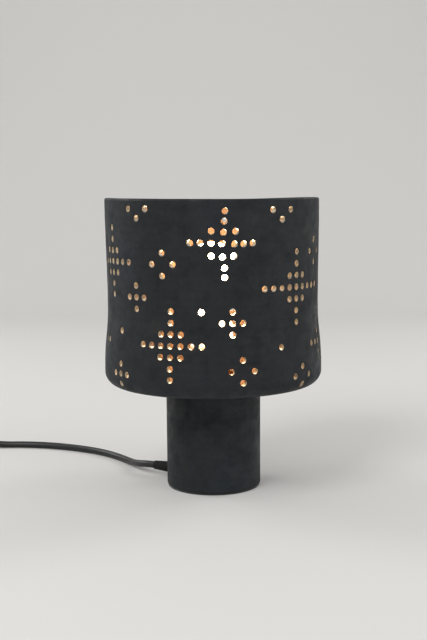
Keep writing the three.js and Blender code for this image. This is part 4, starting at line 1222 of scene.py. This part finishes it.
class LAMP_OT_plug(bpy.types.Operator):
    """Make the plug"""
    bl_idname = "lamp.plug"
    bl_label = "Plug"

    def execute(self, context):
        length, tail, side, neck = 0.052, 0.015, 0.0176, 0.00685
        flare = tail + (length - tail) * 0.45
        outline = [
            (tail - 0.002, -neck), (flare, -side), (length, -side), (length, side), (flare, side),
            (tail - 0.002, neck),
        ]
        bm = slab(outline, neck * 2, 0.0055)
        bmesh.ops.translate(bm, verts=bm.verts, vec=(0, 0, -neck))
        soften(bm, 0.003, 5, 50)
        body = as_object(bm, "plug_grip", "black_plastic")
        pins = [shift(0, y, 0) @ ALONG_X for y in (-0.0093, 0.0093)]
        drill(body, 0.0016, length - 0.0063, length + 0.001, 32, *pins)
        settle(body, AT_PLUG, "lamp", "black_plastic", "plug_body")

        bore, end = 0.0036, tail + 0.003
        sleeve = [
            (bore, 0), (0.0041, 0), *ribs(6, 0.001, tail - 0.001, 0.0043, 0.0054, 0.0007, 0.6),
            (0.0054, tail), (0.0054, end), (bore, end),
        ]
        turned("plug_tail", sleeve, 48, "lamp", "black_plastic", edge=0.00018, where=AT_PLUG @ ALONG_X)

        root, step, tip = length - 0.006, length + 0.0102, length + 0.019
        thin, thick, nose = 0.0013, 0.002, 0.0012
        pin = [
            (0, root), (thin, root), (thin, step), (thick - 0.0002, step), (thick, step + 0.0002),
            (thick, tip - nose), *arc(thick - nose, tip - nose, nose, 0, 90, 5)[1:], (0, tip),
        ]
        cover = ring(0.0016, 0.00195, length + FIT, length + 0.0099)
        for i, out in enumerate(pins, 1):
            where = AT_PLUG @ out
            turned(
                f"contact_pin_{i}", pin, 32, "lamp", "bulb_metal", f"plug_pin_{i}", edge=0, where=where)
            turned(
                f"pin_cover_{i}", cover, 32, "lamp", "black_plastic", f"pin_sleeve_{i}", edge=0.00008,
                where=where)
        return {"FINISHED"}


class LAMP_OT_fittings(bpy.types.Operator):
    """Give each solid that stays its finish"""
    bl_idname = "lamp.fittings"
    bl_label = "Inner fittings"

    def execute(self, context):
        slots = {s["node"]: s["material_slot"] for s in frame["record"]["subparts"]}
        for name, node in frame["nodes"].items():
            for holder in node.material_slots:
                holder.link = "OBJECT"
                holder.material = FINISHES[slots[name]]
        return {"FINISHED"}


class LAMP_PT_panel(bpy.types.Panel):
    """The lamp's pieces, sizes and colours"""
    bl_idname = "LAMP_PT_panel"
    bl_label = "Lamp"
    bl_space_type = "VIEW_3D"
    bl_region_type = "UI"
    bl_category = "Lamp"

    def draw(self, context):
        for operator in OPERATORS:
            self.layout.operator(operator.bl_idname)
        for group in (context.scene.lamp_sizes, context.scene.lamp_colours, context.scene.lamp_stage):
            box = self.layout.box()
            for name in group.__annotations__:
                box.prop(group, name)


OPERATORS = [
    LAMP_OT_camera, LAMP_OT_switch, LAMP_OT_plug, LAMP_OT_tie, LAMP_OT_cords, LAMP_OT_stage, LAMP_OT_fittings,
    LAMP_OT_drum, LAMP_OT_foot, LAMP_OT_clamp, LAMP_OT_lampholder, LAMP_OT_bulb, LAMP_OT_relief,
]
GROUPS = [("lamp_sizes", LampSizes), ("lamp_colours", LampColours), ("lamp_stage", StageSettings)]


def register():
    for name, group in GROUPS:
        bpy.utils.register_class(group)
        setattr(bpy.types.Scene, name, PointerProperty(type=group))
    for item in OPERATORS + [LAMP_PT_panel]:
        bpy.utils.register_class(item)


def unregister():
    for item in reversed(OPERATORS + [LAMP_PT_panel]):
        bpy.utils.unregister_class(item)
    for name, group in reversed(GROUPS):
        delattr(bpy.types.Scene, name)
        bpy.utils.unregister_class(group)


def main():
    register()
    FINISHES.update(make_finishes(bpy.context.scene.lamp_colours))
    for operator in OPERATORS:
        name = operator.bl_idname.removeprefix("lamp.")
        if getattr(bpy.ops.lamp, name)() != {"FINISHED"}:
            raise RuntimeError(f"{operator.bl_label} didn't finish")


if __name__ == "__main__":
    main()
